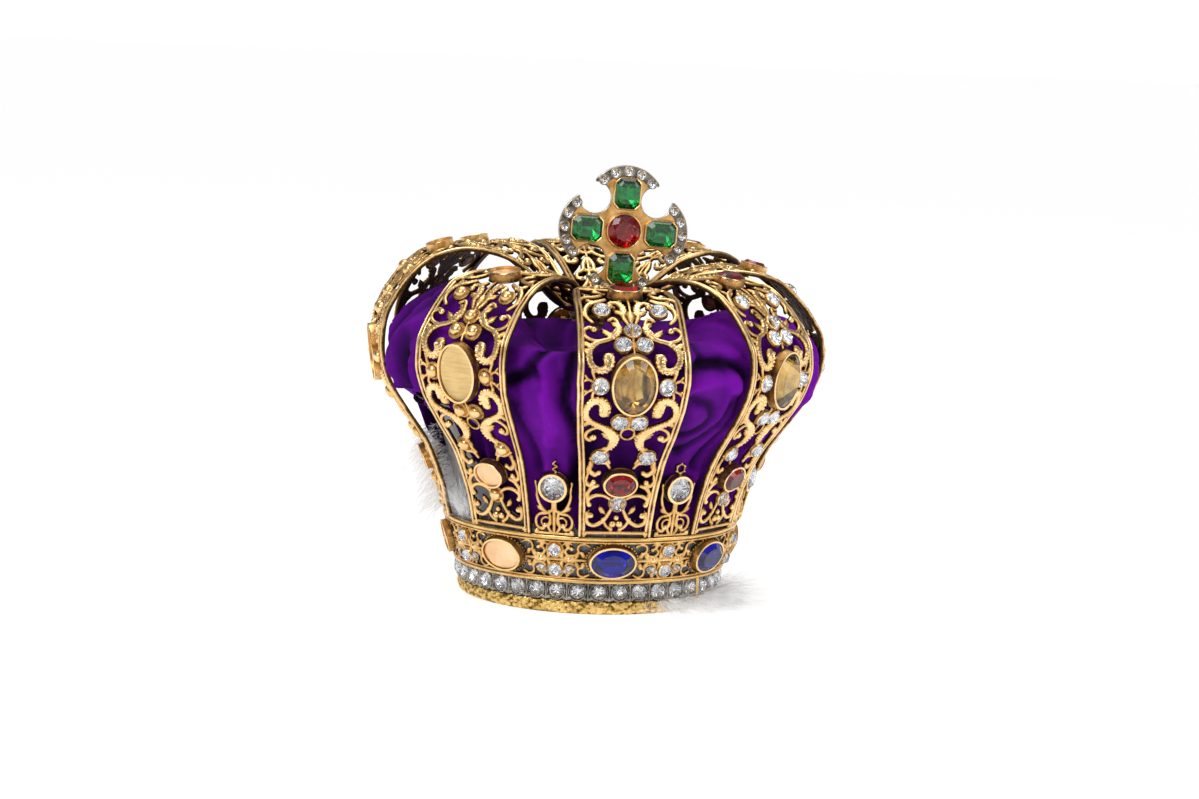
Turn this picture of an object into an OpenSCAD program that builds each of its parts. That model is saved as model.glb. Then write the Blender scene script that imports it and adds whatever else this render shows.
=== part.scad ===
// A closed crown: pierced circlet, eight half-arches, velvet cap, fur lining and a cross that turns.
// The base stands on z = 0, the crown's axis is z, and the first arch faces -y.

/* [Circlet] */
// Inside radius of the head band
head_r = 86; // [80:0.5:88]
// Outside radius of the braid on the bottom edge
braid_r = 91.5; // [91.3:0.1:92.5]
// Height of the braid
braid_h = 9.5; // [8:0.5:10]
// Radius of the ring that the row of stones sits on
row_r = 91.5; // [91:0.1:92]
// Height of the row of stones
row_h = 12.5; // [12:0.5:13]
// Number of stones in the row
row_count = 40; // [36:1:42]
// Diameter of a stone in the row
row_stone_d = 10.6; // [9:0.1:11]
// Outside radius of the circlet at its lower edge
circlet_low_r = 94.6; // [94:0.1:95]
// Outside radius of the circlet at its upper edge
circlet_top_r = 102; // [101.5:0.1:102.2]
// Height of the circlet's lower edge
circlet_low_z = 25; // [24.5:0.5:25.5]
// Height of the circlet's upper edge
circlet_top_z = 52; // [51:0.5:52.5]

/* [Arches] */
// Number of half-arches
arch_count = 8; // [8:1:8]
// Number of half-arches that carry stones; the rest carry gold plates and beads
jewelled_count = 5; // [0:1:8]
// Thickness of an arch's rails
rail_t = 2.6; // [2:0.1:3]
// Width of an arch's rails
rail_w = 4.7; // [3.5:0.1:5]
// Thickness of the pierced panels
panel_t = 1.2; // [0.8:0.1:1.6]
// Spacing of the leaf-shaped piercings
pierce_pitch = 12.4; // [12:0.1:16]

/* [Settings] */
// Width and height of the large ovals on the arches
large_oval = [28, 38];
// Width and height of the red ovals on the arches
red_oval = [21, 17];
// Width and height of the ovals on the circlet
circlet_oval = [30, 21];
// Diameter of the small clear stones on the arches
small_d = 10; // [8:0.1:10.4]
// Diameter of the fleurons' stones
fleuron_d = 17; // [15:0.1:18]
// Wall thickness of every bezel
bezel_t = 1.3; // [1:0.1:1.5]

/* [Cross] */
// Height of the cross's centre
cross_z = 256; // [255:0.5:258]
// How far the cross stands to one side of its stem
cross_offset = 12; // [0:0.5:12]
// Distance from the cross's centre to the end of an arm
cross_reach = 43; // [42:0.5:44]
// Radius of the arc that ends each arm
cross_arc_r = 26; // [25:0.5:27]
// Radius of the round notches between the arms
notch_r = 10.3; // [9.8:0.1:10.6]
// Distance from the cross's centre to the centre of a notch
notch_at = 28.9; // [28.5:0.1:29.5]
// Lean of the cross to one side, in degrees
cross_lean = 3.2; // [0:0.1:4]
// Radius of the cross's stem
stem_r = 2.6; // [2.2:0.1:3]
// Running clearance between the stem and the hub's holes
stem_gap = 0.06; // [0.02:0.01:0.1]

/* [Hidden] */
$fn = 64;
ARCHES = [for (i = [1:arch_count]) i];

// Colours
gold = [0.83, 0.66, 0.34];
old_gold = [0.62, 0.48, 0.24];
silver = [0.62, 0.61, 0.58];
clear_stone = [0.82, 0.86, 0.88];
blue = [0.04, 0.05, 0.62];
red = [0.66, 0.02, 0.08];
green = [0.02, 0.5, 0.26];
citrine = [0.62, 0.55, 0.26];
purple = [0.32, 0.03, 0.56];
fur_white = [0.92, 0.91, 0.9];
leather_tan = [0.45, 0.33, 0.22];
lining_grey = [0.45, 0.43, 0.42];

// Arches: radius and height of the points that the outer face of an arch passes through, foot first
profile = [[102.6, 56], [109.4, 81], [120.4, 107], [134.7, 128], [147, 147], [153.6, 166], [152.9, 187],
           [145.7, 202], [134.7, 216], [119, 228], [95, 233.5], [67, 229.5], [45, 218], [31, 205.5],
           [21.5, 200.3], [9.5, 199.6]];
// Half the width of an arch, against height up its outside and against radius over its top
half_by_z = [[56, 24.5], [81, 26], [107, 29], [128, 33], [147, 36], [166, 37.5], [187, 37.3], [202, 36.5],
             [216, 35.8], [245, 35.5]];
half_by_r = [[9.5, 3.2], [21.5, 8], [31, 11.6], [45, 17], [67, 25.3], [95, 33], [119, 35.4]];
profile_steps = 2;
// Below split_z, and outside split_r, the width goes by height; over the top it goes by radius
split_z = 190;
split_r = 119;
// How far each hand-bent arch's crest is above or below the profile
arch_lift = [-14, -6, -3, 5, 6, 6, 8, -6];
lift_from_z = 150;
lift_full_z = 220;
lift_from_r = 31;
lift_full_r = 85;

// Smooth curve through the profile's points
function spline(a, b, c, d, u) =
    0.5 * (2 * b + u * (c - a) + u * u * (2 * a - 5 * b + 4 * c - d) + u * u * u * (3 * b - a - 3 * c + d));
function clamp_at(list, i) = list[max(0, min(len(list) - 1, i))];
function curve(list, steps) = concat(
    [for (i = [0:len(list) - 2], k = [0:steps - 1])
        spline(clamp_at(list, i - 1), list[i], list[i + 1], clamp_at(list, i + 2), k / steps)],
    [list[len(list) - 1]]);
function smooth_step(u) = let (v = max(0, min(1, u))) v * v * (3 - 2 * v);
function lift_share(p) = p[1] < lift_from_z ? 0 : p[0] > lift_full_r
    ? smooth_step((p[1] - lift_from_z) / (lift_full_z - lift_from_z))
    : smooth_step((p[0] - lift_from_r) / (lift_full_r - lift_from_r));
function run_to(line, n) = n == 0 ? 0 : run_to(line, n - 1) + norm(line[n] - line[n - 1]);
function runs(line) = [for (n = [0:len(line) - 1]) run_to(line, n)];
function against(runs, line, k) = [for (n = [0:len(line) - 1]) [runs[n], line[n][k]]];
// The profile itself, and each arch's own line
mean_line = curve(profile, profile_steps);
mean_runs = runs(mean_line);
arch_length = mean_runs[len(mean_runs) - 1];
arch_lines = [for (lift = arch_lift)
    curve([for (p = profile) [p[0], p[1] + lift * lift_share(p)]], profile_steps)];
arch_runs = [for (line = arch_lines) runs(line)];
arch_radii = [for (i = [0:len(arch_lift) - 1]) against(arch_runs[i], arch_lines[i], 0)];
arch_heights = [for (i = [0:len(arch_lift) - 1]) against(arch_runs[i], arch_lines[i], 1)];
// Radius and height at distance s along the profile; arch i takes up its own length beyond even_to
even_to = 110;
function arch_point(i, s) = let (more = arch_runs[i][len(arch_runs[i]) - 1] - arch_length,
    t = s + more * max(0, s - even_to) / (arch_length - even_to))
    [lookup(t, arch_radii[i]), lookup(t, arch_heights[i])];
function arch_way(i, s) = let (d = arch_point(i, s + 1.5) - arch_point(i, s - 1.5)) d / norm(d);
function arch_half(s) =
    let (r = lookup(s, against(mean_runs, mean_line, 0)), z = lookup(s, against(mean_runs, mean_line, 1)))
    z < split_z || r > split_r ? lookup(z, half_by_z) : lookup(r, half_by_r);
// The profile moved inwards by d, normal to the curve
function inward(line, d) = [for (i = [0:len(line) - 1])
    let (way = clamp_at(line, i + 1) - clamp_at(line, i - 1)) line[i] + d * [-way[1], way[0]] / norm(way)];

// Settings on an arch, as distance along it from the foot and distance to the side
large_at = 122;
lower_red_at = 41;
top_red_at = 208;
bead_at = 15;
small_at = [[24.8, 0], [62, 15.7], [62, -15.7], [93, 6.3], [93, -6.3], [121, 22], [121, -22],
            [151, 7], [151, -7], [163, 0], [182, 19], [182, -19]];

// Settings on the circlet
circlet_slope = atan2(circlet_top_r - circlet_low_r, circlet_top_z - circlet_low_z);
circlet_mid_z = (circlet_low_z + circlet_top_z) / 2;
circlet_t = 1;
circlet_small_z = [31.5, 45.5];
circlet_small_d = 8.8;
// Pointed stones on each side of the lower round one: length, width, turn round the circlet and slant
pointed_l = 10;
pointed_w = 6.6;
pointed_turn = 5.5;
pointed_slant = 22;

// Fleurons stand between the arches, but for the gap that has lost its own
missing_fleuron = 6;
fleuron_z = 89;
fleuron_r = 109.6;

function oval(w, h, n = 24) = [for (k = [0:n - 1]) [w / 2 * cos(360 * k / n), h / 2 * sin(360 * k / n)]];
function leaf(l, w) = [for (k = [0:7]) let (a = 360 * k / 8) [l / 2 * cos(a), w / 2 * sin(a) * abs(sin(a))]];
function octagon(w, h, c) = [[w / 2, h / 2 - c], [w / 2 - c, h / 2], [c - w / 2, h / 2], [-w / 2, h / 2 - c],
    [-w / 2, c - h / 2], [c - w / 2, -h / 2], [w / 2 - c, -h / 2], [w / 2, c - h / 2]];
function jewelled(i) = i < jewelled_count;

// Turns to an arch, with x to the side, y up along the arch and z out of its face
module on_arch(i, s, side = 0) {
    p = arch_point(i, s);
    way = arch_way(i, s);
    rotate([0, 0, 360 / arch_count * i]) translate([side, -p[0], p[1]])
        rotate([atan2(way[1], -way[0]), 0, 0]) children();
}
// Turns to the circlet's outer face at an angle and a height
module on_circlet(angle, z) {
    r = circlet_low_r + (z - circlet_low_z) * tan(circlet_slope);
    rotate([0, 0, angle]) translate([0, -r, z]) rotate([90 + circlet_slope, 0, 0]) children();
}
module prism(points, low, high) {
    translate([0, 0, low]) linear_extrude(high - low) polygon(points);
}
// A faceted stone: straight girdle below and a tapered crown above
module cut_stone(points, low, girdle, high) {
    union() {
        prism(points, low, girdle);
        translate([0, 0, girdle]) linear_extrude(high - girdle, scale = 0.62) polygon(points);
    }
}
module round_stone(d, low, girdle, high) {
    translate([0, 0, low]) cylinder(d = d, h = girdle - low);
    translate([0, 0, girdle]) cylinder(d1 = d, d2 = 0.6 * d, h = high - girdle);
}
module bezel(outer, inner, low, high) {
    difference() {
        prism(outer, low, high);
        prism(inner, low + 1, high + 1);
    }
}
module round_collet(d, low, high) {
    difference() {
        translate([0, 0, low]) cylinder(d = d, h = high - low);
        translate([0, 0, low + 0.8]) cylinder(d = d - 2 * 0.9, h = high - low);
    }
}
module ring(r_out, r_in, low, high) {
    rotate_extrude() translate([r_in, low]) square([r_out - r_in, high - low]);
}

// Circlet
module base_braid() {
    color(gold) rotate_extrude() translate([head_r + 1.6, 0])
        polygon([[0, 0], [braid_r - head_r - 2.8, 0], [braid_r - head_r - 1.6, 1.6],
                 [braid_r - head_r - 1.6, braid_h - 1.6], [braid_r - head_r - 2.8, braid_h], [0, braid_h]]);
}
module head_band() {
    color(leather_tan) ring(head_r + 1.4, head_r, 1.2, 42);
}
module fur_lining() {
    color(fur_white) rotate_extrude()
        polygon([[head_r + 1.7, braid_h + 0.2], [row_r - 1.7, braid_h + 0.2], [row_r - 1.7, 24],
                 [circlet_low_r - 2.6, 26], [circlet_top_r - 3, 52], [circlet_top_r - 3, 58.5], [94, 58.5],
                 [head_r + 1.7, 40]]);
}
module stone_row_strip() {
    color(silver) difference() {
        ring(row_r, row_r - 1.4, braid_h + 0.2, braid_h + row_h);
        for (k = [0:row_count - 1]) on_row(k) translate([0, 0, -2]) cylinder(d = row_stone_d + 0.1, h = 4);
    }
}
module on_row(k) {
    rotate([0, 0, 360 / row_count * (k + 0.5)]) translate([0, -row_r, braid_h + row_h / 2 + 0.1])
        rotate([90, 0, 0]) children();
}
module row_stones() {
    color(clear_stone) for (k = [0:row_count - 1]) on_row(k) round_stone(row_stone_d, -1.2, 1.2, 3);
}
module strip_clip() {
    clip_w = 3.2;
    color(gold) rotate([0, 0, 45]) translate([-clip_w / 2, -row_r - 1.4, braid_h + 0.4])
        cube([clip_w, 1.3, row_h - 0.6]);
}
module rim_wire(r, z, wire_r) {
    color(gold) translate([0, 0, z]) rotate_extrude() translate([r, 0]) circle(wire_r, $fn = 24);
}
module circlet_band() {
    low = circlet_low_z;
    top = circlet_top_z;
    color(gold) difference() {
        rotate_extrude() polygon([[circlet_low_r - circlet_t, low], [circlet_low_r, low], [circlet_top_r, top],
                                  [circlet_top_r - circlet_t, top]]);
        for (i = [0:arch_count - 1]) {
            angle = 360 / arch_count * i;
            gap = 2 * bezel_t + 0.2;
            on_circlet(angle, circlet_mid_z) prism(oval(circlet_oval[0] + gap, circlet_oval[1] + gap), -4, 4);
            for (z = circlet_small_z) on_circlet(angle + 180 / arch_count, z)
                translate([0, 0, -4]) cylinder(d = circlet_small_d + 2, h = 8);
            for (side = [-1, 1], z = [-1, 1])
                on_circlet(angle + side * (180 / arch_count - pointed_turn), circlet_mid_z + 6 * z)
                    rotate([0, 0, 45 * side * z]) prism(leaf(9, 5), -4, 4);
        }
    }
}
module circlet_bezels() {
    outer = oval(circlet_oval[0] + 2 * bezel_t, circlet_oval[1] + 2 * bezel_t);
    color(gold) for (i = [0:arch_count - 1]) on_circlet(360 / arch_count * i, circlet_mid_z)
        bezel(outer, oval(circlet_oval[0], circlet_oval[1]), -1.2, 4.6);
}
module circlet_blue_stones() {
    color(blue) for (i = [0:jewelled_count - 1]) on_circlet(360 / arch_count * i, circlet_mid_z)
        cut_stone(oval(circlet_oval[0] - 0.1, circlet_oval[1] - 0.1), 0, 4, 7);
}
module circlet_gold_plates() {
    color(gold) for (i = [jewelled_count:arch_count - 1]) on_circlet(360 / arch_count * i, circlet_mid_z)
        prism(oval(circlet_oval[0] - 0.1, circlet_oval[1] - 0.1), 0, 2.4);
}
module circlet_small_collets() {
    color(gold) for (i = [0:arch_count - 1], z = circlet_small_z) on_circlet(360 / arch_count * (i + 0.5), z)
        round_collet(circlet_small_d + 1.8, -1, 2.4);
}
module circlet_small_stones() {
    color(clear_stone) for (i = [0:arch_count - 1], z = circlet_small_z)
        on_circlet(360 / arch_count * (i + 0.5), z)
        round_stone(circlet_small_d - 0.1, 0, 2, 4);
    color(clear_stone) for (i = [0:arch_count - 1], side = [-1, 1])
        on_circlet(360 / arch_count * (i + 0.5) + side * pointed_turn, circlet_small_z[0])
            rotate([0, 0, 90 - side * pointed_slant]) prism(leaf(pointed_l, pointed_w), 0.12, 2.6);
}

// Arches
module arch_sheet(i, thickness) {
    outer = arch_lines[i];
    inner = inward(outer, thickness);
    count = len(inner);
    rotate([90, 0, 90]) translate([0, 0, -40]) linear_extrude(80)
        polygon([for (p = concat(outer, [for (k = [1:count]) inner[count - k]])) [-p[0], p[1]]]);
}
// An outline and its mirror image, closed
module both_sides(half) {
    polygon(concat(half, [for (k = [1:len(half)]) let (p = half[len(half) - k]) [-p[0], p[1]]]));
}
// The outline of an arch less an edge, as solids that cut the bent sheet to its width
module arch_outline(edge) {
    by_z = [for (p = half_by_z) [p[1] - edge, p[0]]];
    below = concat([for (p = by_z) if (p[1] < split_z) p], [[lookup(split_z, half_by_z) - edge, split_z]]);
    by_r = [for (p = half_by_r) [max(0.4, p[1] - edge), -p[0]]];
    union() {
        rotate([90, 0, 0]) translate([0, 0, 90]) linear_extrude(90) both_sides(below);
        rotate([90, 0, 0]) translate([0, 0, split_r]) linear_extrude(60) both_sides(by_z);
        translate([0, 0, split_z]) linear_extrude(60) both_sides(by_r);
    }
}
module arch_frame(i) {
    color(gold) rotate([0, 0, 360 / arch_count * i]) difference() {
        intersection() {
            arch_sheet(i, rail_t);
            arch_outline(0);
        }
        difference() {
            arch_outline(rail_w);
            translate([0, -170, 0]) cube([100, 340, 2 * (profile[0][1] + 4)], center = true);
            translate([0, 0, 210]) cylinder(r = 26, h = 60, center = true);
        }
        hub_screw_hole();
    }
}
module hub_screw_hole() {
    translate([0, -screw_at, 190]) cylinder(r = 1.65, h = 20);
}
module arch_filigree(i) {
    color(gold) rotate([0, 0, 360 / arch_count * i]) difference() {
        intersection() {
            arch_sheet(i, panel_t);
            arch_outline(rail_w);
        }
        translate([0, -170, 0]) cube([100, 340, 2 * (profile[0][1] + 4)], center = true);
        translate([0, 0, 210]) cylinder(r = 26, h = 60, center = true);
        rotate([0, 0, -360 / arch_count * i]) arch_seats(i);
        rotate([0, 0, -360 / arch_count * i]) arch_piercings(i);
    }
}
module arch_seats(i) {
    gap = 2 * bezel_t + 0.2;
    on_arch(i, large_at) prism(oval(large_oval[0] + gap, large_oval[1] + gap), -9, 6);
    on_arch(i, lower_red_at) prism(oval(red_oval[0] + gap, red_oval[1] + gap), -6, 6);
    on_arch(i, top_red_at) prism(oval(red_oval[0] + gap, red_oval[1] + gap), -6, 6);
    for (p = small_at) on_arch(i, p[0], p[1]) translate([0, 0, -5]) cylinder(d = small_d + 2, h = 10);
}
// Distance from a place on an arch to the nearest setting's edge
function clear_of_settings(s, v) = min(concat(
    [for (p = small_at) norm([s, v] - p) - small_d / 2],
    [norm([(s - large_at) * large_oval[0] / large_oval[1], v]) - large_oval[0] / 2],
    [for (at = [lower_red_at, top_red_at]) norm([s - at, v]) - red_oval[0] / 2]));
pierce_rows = floor((arch_length - 40) / (pierce_pitch / 2));
pierce_at = [for (row = [0:pierce_rows], k = [-3:3])
    let (s = 9 + row * pierce_pitch / 2, v = (k + (row % 2) / 2) * pierce_pitch)
    if (abs(v) < arch_half(s) - rail_w - 3.4 && clear_of_settings(s, v) > 5) [s, v, row % 2 == 0 ? 40 : -40]];
module arch_piercings(i) {
    for (p = pierce_at) on_arch(i, p[0], p[1]) rotate([0, 0, p[2]]) prism(leaf(10.4, 6), -5, 5);
}
module oval_bezels(at, size, low, high) {
    outer = oval(size[0] + 2 * bezel_t, size[1] + 2 * bezel_t);
    color(gold) for (i = [0:arch_count - 1]) on_arch(i, at) bezel(outer, oval(size[0], size[1]), low, high);
}
module oval_stones(at, size, low, girdle, high) {
    for (i = [0:jewelled_count - 1]) on_arch(i, at)
        cut_stone(oval(size[0] - 0.1, size[1] - 0.1), low, girdle, high);
}
module oval_plates(at, size, low, high) {
    color(gold) for (i = [jewelled_count:arch_count - 1]) on_arch(i, at)
        prism(oval(size[0] - 0.1, size[1] - 0.1), low, high);
}
module arch_small_collets() {
    color(gold) for (i = [0:jewelled_count - 1], p = small_at) on_arch(i, p[0], p[1])
        round_collet(small_d + 1.8, -1.6, 2.4);
}
module arch_small_stones() {
    color(clear_stone) for (i = [0:jewelled_count - 1], p = small_at) on_arch(i, p[0], p[1])
        round_stone(small_d - 0.1, -0.8, 2, 4.4);
}
module arch_gold_beads() {
    color(gold) for (i = [jewelled_count:arch_count - 1], p = small_at) on_arch(i, p[0], p[1])
        intersection() {
            translate([0, 0, -0.4]) sphere(d = small_d - 0.6);
            translate([-10, -10, -1.6]) cube([20, 20, 10]);
        }
}

// Fleurons
module on_fleuron(g, z) {
    rotate([0, 0, 360 / arch_count * (g + 0.5)])
        translate([0, -lookup(z, [[54, 103], [fleuron_z, fleuron_r]]), z])
        rotate([90 + atan2(fleuron_r - 103, fleuron_z - 54), 0, 0]) children();
}
module each_fleuron(z) {
    for (g = [0:arch_count - 1]) if (g != missing_fleuron) on_fleuron(g, z) children();
}
module fleuron_scrolls() {
    color(gold) each_fleuron(70) union() {
        for (side = [-1, 1]) translate([7 * side, -4, 0]) difference() {
            cylinder(r = 7, h = 2, center = true);
            cylinder(r = 4.6, h = 3, center = true);
        }
        translate([-1.6, -14, -1]) cube([3.2, 23.9, 2]);
        translate([-1, 28.8, -0.8]) cube([2, 7, 1.6]);
        translate([0, 34.9, 0]) difference() {
            cylinder(r = 3.2, h = 1.6, center = true);
            cylinder(r = 1.8, h = 3, center = true);
        }
    }
}
module fleuron_collets() {
    color(gold) each_fleuron(fleuron_z) round_collet(fleuron_d + 1.8, -2, 4);
}
module fleuron_stones() {
    color(clear_stone) each_fleuron(fleuron_z) round_stone(fleuron_d - 0.1, -1.2, 3, 6.4);
}
module arch_foot_rivets() {
    color(gold) for (i = [0:arch_count - 1], side = [-1, 1]) on_arch(i, 2.4, 20.5 * side)
        intersection() {
            sphere(r = 1.9);
            translate([-3, -3, 0]) cube([6, 6, 6]);
        }
}

// Soft parts
module soft_shell(outside, inside) {
    count = len(inside);
    rotate_extrude() polygon(concat(outside, [for (k = [1:count]) inside[count - k]]));
}
module velvet_cap() {
    outside = curve([[98.5, 60], [101.5, 78], [106, 94], [111, 111.5], [119.5, 122.5], [131, 134.5], [140, 147],
        [146, 166], [145, 182], [137, 194], [124, 203], [106, 207], [86, 202.5], [60, 191], [30, 181],
        [12, 178],
        [0, 177]], 2);
    inside = curve([[95.5, 60], [98.5, 78.4], [103, 94.8], [108.4, 113], [117.2, 124.4], [128.6, 136.4],
        [137.3, 148.4], [143, 166.2], [142.1, 181], [135.2, 191.6], [123.3, 200], [106.2, 204], [87, 199.7],
        [61, 188.2], [30.6, 178], [12.2, 175], [0, 174]], 2);
    color(purple) soft_shell(outside, inside);
}
module cap_lining() {
    outside = curve([[93.5, 59], [94.7, 60.5], [97.6, 78.8], [102, 95.2], [107.2, 113.2], [115.6, 124.6],
        [126.8, 136.6]], 2);
    inside = curve([[92.3, 59.6], [93.5, 61.2], [96.4, 79.2], [100.8, 95.7], [106.1, 114], [114.6, 125.5],
        [125.9, 137.5]], 2);
    color(lining_grey) soft_shell(outside, inside);
}

// Hub
screw_at = 16.5;
hub_z = 199.9;
hub_t = 1.6;
module hub_disc(r, low, high) {
    difference() {
        translate([0, 0, low]) cylinder(r = r, h = high - low);
        translate([0, 0, low - 1]) cylinder(r = stem_r + stem_gap, h = high - low + 2);
        for (i = [0:arch_count - 1]) rotate([0, 0, 360 / arch_count * i]) hub_screw_hole();
    }
}
module hub_plate() {
    color(gold) hub_disc(20, hub_z + 0.5, hub_z + 0.5 + hub_t);
}
module hub_ring() {
    color(old_gold) hub_disc(20, 194.6, 194.6 + hub_t);
}
module hub_screws() {
    color(old_gold) for (i = [0:arch_count - 1]) rotate([0, 0, 360 / arch_count * i])
        translate([0, -screw_at, 0]) union() {
        translate([0, 0, 190.4]) cylinder(r = 1.6, h = hub_z + 0.5 + hub_t - 190.4);
        translate([0, 0, hub_z + 0.5 + hub_t]) intersection() {
            translate([0, 0, -1.4]) sphere(r = 3.2);
            translate([-4, -4, 0]) cube([8, 8, 4]);
        }
    }
}
module hub_nuts() {
    color(old_gold) for (i = [0:arch_count - 1]) rotate([0, 0, 360 / arch_count * i])
        translate([0, -screw_at, 191.8])
        difference() {
            cylinder(r = 3.1, h = 2.7, $fn = 6);
            translate([0, 0, -1]) cylinder(r = 1.65, h = 5);
        }
}

// Cross
lean_z = 205;
arm_wedge = 33;
emerald = [17, 20.5];
emerald_at = 24.6;
ruby_d = 22;
plate_t = 2.5;
plate_front = 4.1;
cross_small_d = 6.4;
cross_small_r = 22.2;
cross_small_at = [for (a = [-46, -23, 0, 23, 46])
    [cross_reach - cross_arc_r + cross_small_r * cos(a), cross_small_r * sin(a)]];
function leant(z) = cross_offset + (z - lean_z) * tan(cross_lean);
module leaning() {
    translate([cross_offset, 0, lean_z]) rotate([0, cross_lean, 0]) translate([0, 0, -lean_z]) children();
}
// Turns to the cross's face, with x to the right, y up and z towards the front
module on_cross() {
    leaning() translate([0, -plate_front, cross_z]) rotate([90, 0, 0]) children();
}
// Stem, collar and the bent strap behind the cross
module cross_stem() {
    strap_low = 204;
    strap_bend = 224;
    strap_top = cross_z - 3;
    strap_w = 8;
    strap_t = 3.2;
    color(gold) union() {
        translate([0, 0, 184.5]) cylinder(r = stem_r, h = 18.5);
        translate([0, 0, hub_z + 0.8 + hub_t]) cylinder(r1 = 6.5, r2 = 3.4, h = 3.2);
        translate([-strap_w / 2, plate_t - plate_front + strap_t, 0]) rotate([90, 0, 0]) linear_extrude(strap_t)
            polygon([[0, strap_low], [strap_w, strap_low], [strap_w + leant(strap_bend), strap_bend],
                     [strap_w + leant(strap_top), strap_top], [leant(strap_top), strap_top],
                     [leant(strap_bend), strap_bend]]);
    }
}
module cross_nut() {
    color(old_gold) difference() {
        union() {
            translate([0, 0, 187.4]) cylinder(r = 5.2, h = 4, $fn = 6);
            translate([0, 0, 191.4]) cylinder(r = 7.5, h = 1.2);
        }
        translate([0, 0, 180]) cylinder(r = stem_r, h = 20);
    }
}
module cross_outline() {
    tip = 60;
    difference() {
        union() {
            for (k = [0:3]) rotate(90 * k) intersection() {
                translate([cross_reach - cross_arc_r, 0]) circle(cross_arc_r);
                polygon([[0, 0], [tip, tip * tan(arm_wedge)], [tip, -tip * tan(arm_wedge)]]);
            }
            square(30, center = true);
        }
        for (k = [0:3]) rotate(45 + 90 * k) translate([notch_at, 0]) circle(notch_r);
    }
}
module cross_plate() {
    color(silver) on_cross() translate([0, 0, -plate_t]) linear_extrude(plate_t) cross_outline();
}
module each_emerald() {
    for (k = [0:3]) rotate([0, 0, 90 * k]) translate([0, emerald_at, 0]) children();
}
module cross_bezels() {
    color(gold) on_cross() {
        round_collet(ruby_d + 2.2, 0, 4.6);
        each_emerald()
            bezel(octagon(emerald[0] + 2, emerald[1] + 2, 4.6), octagon(emerald[0], emerald[1], 4), 0, 4);
    }
}
module cross_ruby() {
    color(red) on_cross() round_stone(ruby_d + 0.3, 0.8, 4, 7.4);
}
module cross_emeralds() {
    color(green) on_cross() each_emerald() cut_stone(octagon(emerald[0] - 0.1, emerald[1] - 0.1, 4), 1, 4, 6.4);
}
module cross_small_stones() {
    color(clear_stone) on_cross() for (k = [0:3], p = cross_small_at)
        rotate([0, 0, 90 * k]) translate([p[0], p[1], 0])
        round_stone(cross_small_d, 0, 1.4, 3);
}

base_braid();
head_band();
fur_lining();
stone_row_strip();
row_stones();
strip_clip();
rim_wire(circlet_low_r - 0.6, circlet_low_z - 1.6, 1.5);  // lower_rim_wire
rim_wire(circlet_top_r, circlet_top_z + 1.9, 1.8);  // upper_rim_wire
circlet_band();
circlet_bezels();
circlet_blue_stones();
circlet_gold_plates();
circlet_small_collets();
circlet_small_stones();
for (i = ARCHES) arch_frame(i - 1);
for (i = ARCHES) arch_filigree(i - 1);
oval_bezels(large_at, large_oval, -3.4, 5);  // large_bezels
color(citrine) oval_stones(large_at, large_oval, -2.4, 4.4, 8);  // citrine_stones
oval_plates(large_at, large_oval, -2.4, 2);  // large_gold_plates
oval_bezels(lower_red_at, red_oval, -1.6, 5.4);  // lower_red_bezels
color(red) oval_stones(lower_red_at, red_oval, -0.6, 4.8, 8);  // lower_red_stones
oval_plates(lower_red_at, red_oval, -0.6, 3);  // lower_gold_plates
oval_bezels(top_red_at, red_oval, -1.6, 5.4);  // top_red_bezels
color(red) oval_stones(top_red_at, red_oval, -0.6, 4.8, 8);  // top_red_stones
oval_plates(top_red_at, red_oval, -0.6, 3);  // top_gold_plates
arch_small_collets();
arch_small_stones();
arch_gold_beads();
fleuron_scrolls();
fleuron_collets();
fleuron_stones();
arch_foot_rivets();
velvet_cap();
cap_lining();
hub_plate();
hub_ring();
hub_screws();
hub_nuts();
cross_stem();
cross_nut();
cross_plate();
cross_bezels();
cross_ruby();
cross_emeralds();
cross_small_stones();
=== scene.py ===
"""The looks of the crown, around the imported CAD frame.

Cast scrollwork, settings, cut stones, velvet cap, fur and cross. Lengths are in millimetres until a mesh is
made, and every place is in the frame's own axes.
"""
import math

import bpy
import numpy as np
from mathutils import Matrix, Vector, noise


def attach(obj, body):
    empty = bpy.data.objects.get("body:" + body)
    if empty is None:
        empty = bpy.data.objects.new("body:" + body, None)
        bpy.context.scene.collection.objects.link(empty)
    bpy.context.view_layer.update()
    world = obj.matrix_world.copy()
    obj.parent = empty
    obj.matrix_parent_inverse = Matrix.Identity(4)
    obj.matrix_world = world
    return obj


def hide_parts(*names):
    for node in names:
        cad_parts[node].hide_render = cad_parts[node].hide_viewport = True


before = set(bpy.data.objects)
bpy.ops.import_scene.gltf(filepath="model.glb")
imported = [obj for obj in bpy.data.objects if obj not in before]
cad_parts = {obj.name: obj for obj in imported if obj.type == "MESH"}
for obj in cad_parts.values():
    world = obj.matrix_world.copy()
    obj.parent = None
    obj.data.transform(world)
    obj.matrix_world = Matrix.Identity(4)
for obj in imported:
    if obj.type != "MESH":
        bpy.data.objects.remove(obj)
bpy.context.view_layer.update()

MM = 0.001
ARCHES = 8
JEWELLED = 5
TURN = 2 * math.pi / ARCHES

# ---------------------------------------------------------------- dimensions
# Arch: radius and height of the points that its outer face passes through, foot first
PROFILE = [(102.6, 56), (109.4, 81), (120.4, 107), (134.7, 128), (147, 147), (153.6, 166), (152.9, 187),
           (145.7, 202), (134.7, 216), (119, 228), (95, 233.5), (67, 229.5), (45, 218), (31, 205.5),
           (21.5, 200.3), (9.5, 199.6)]
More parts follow.
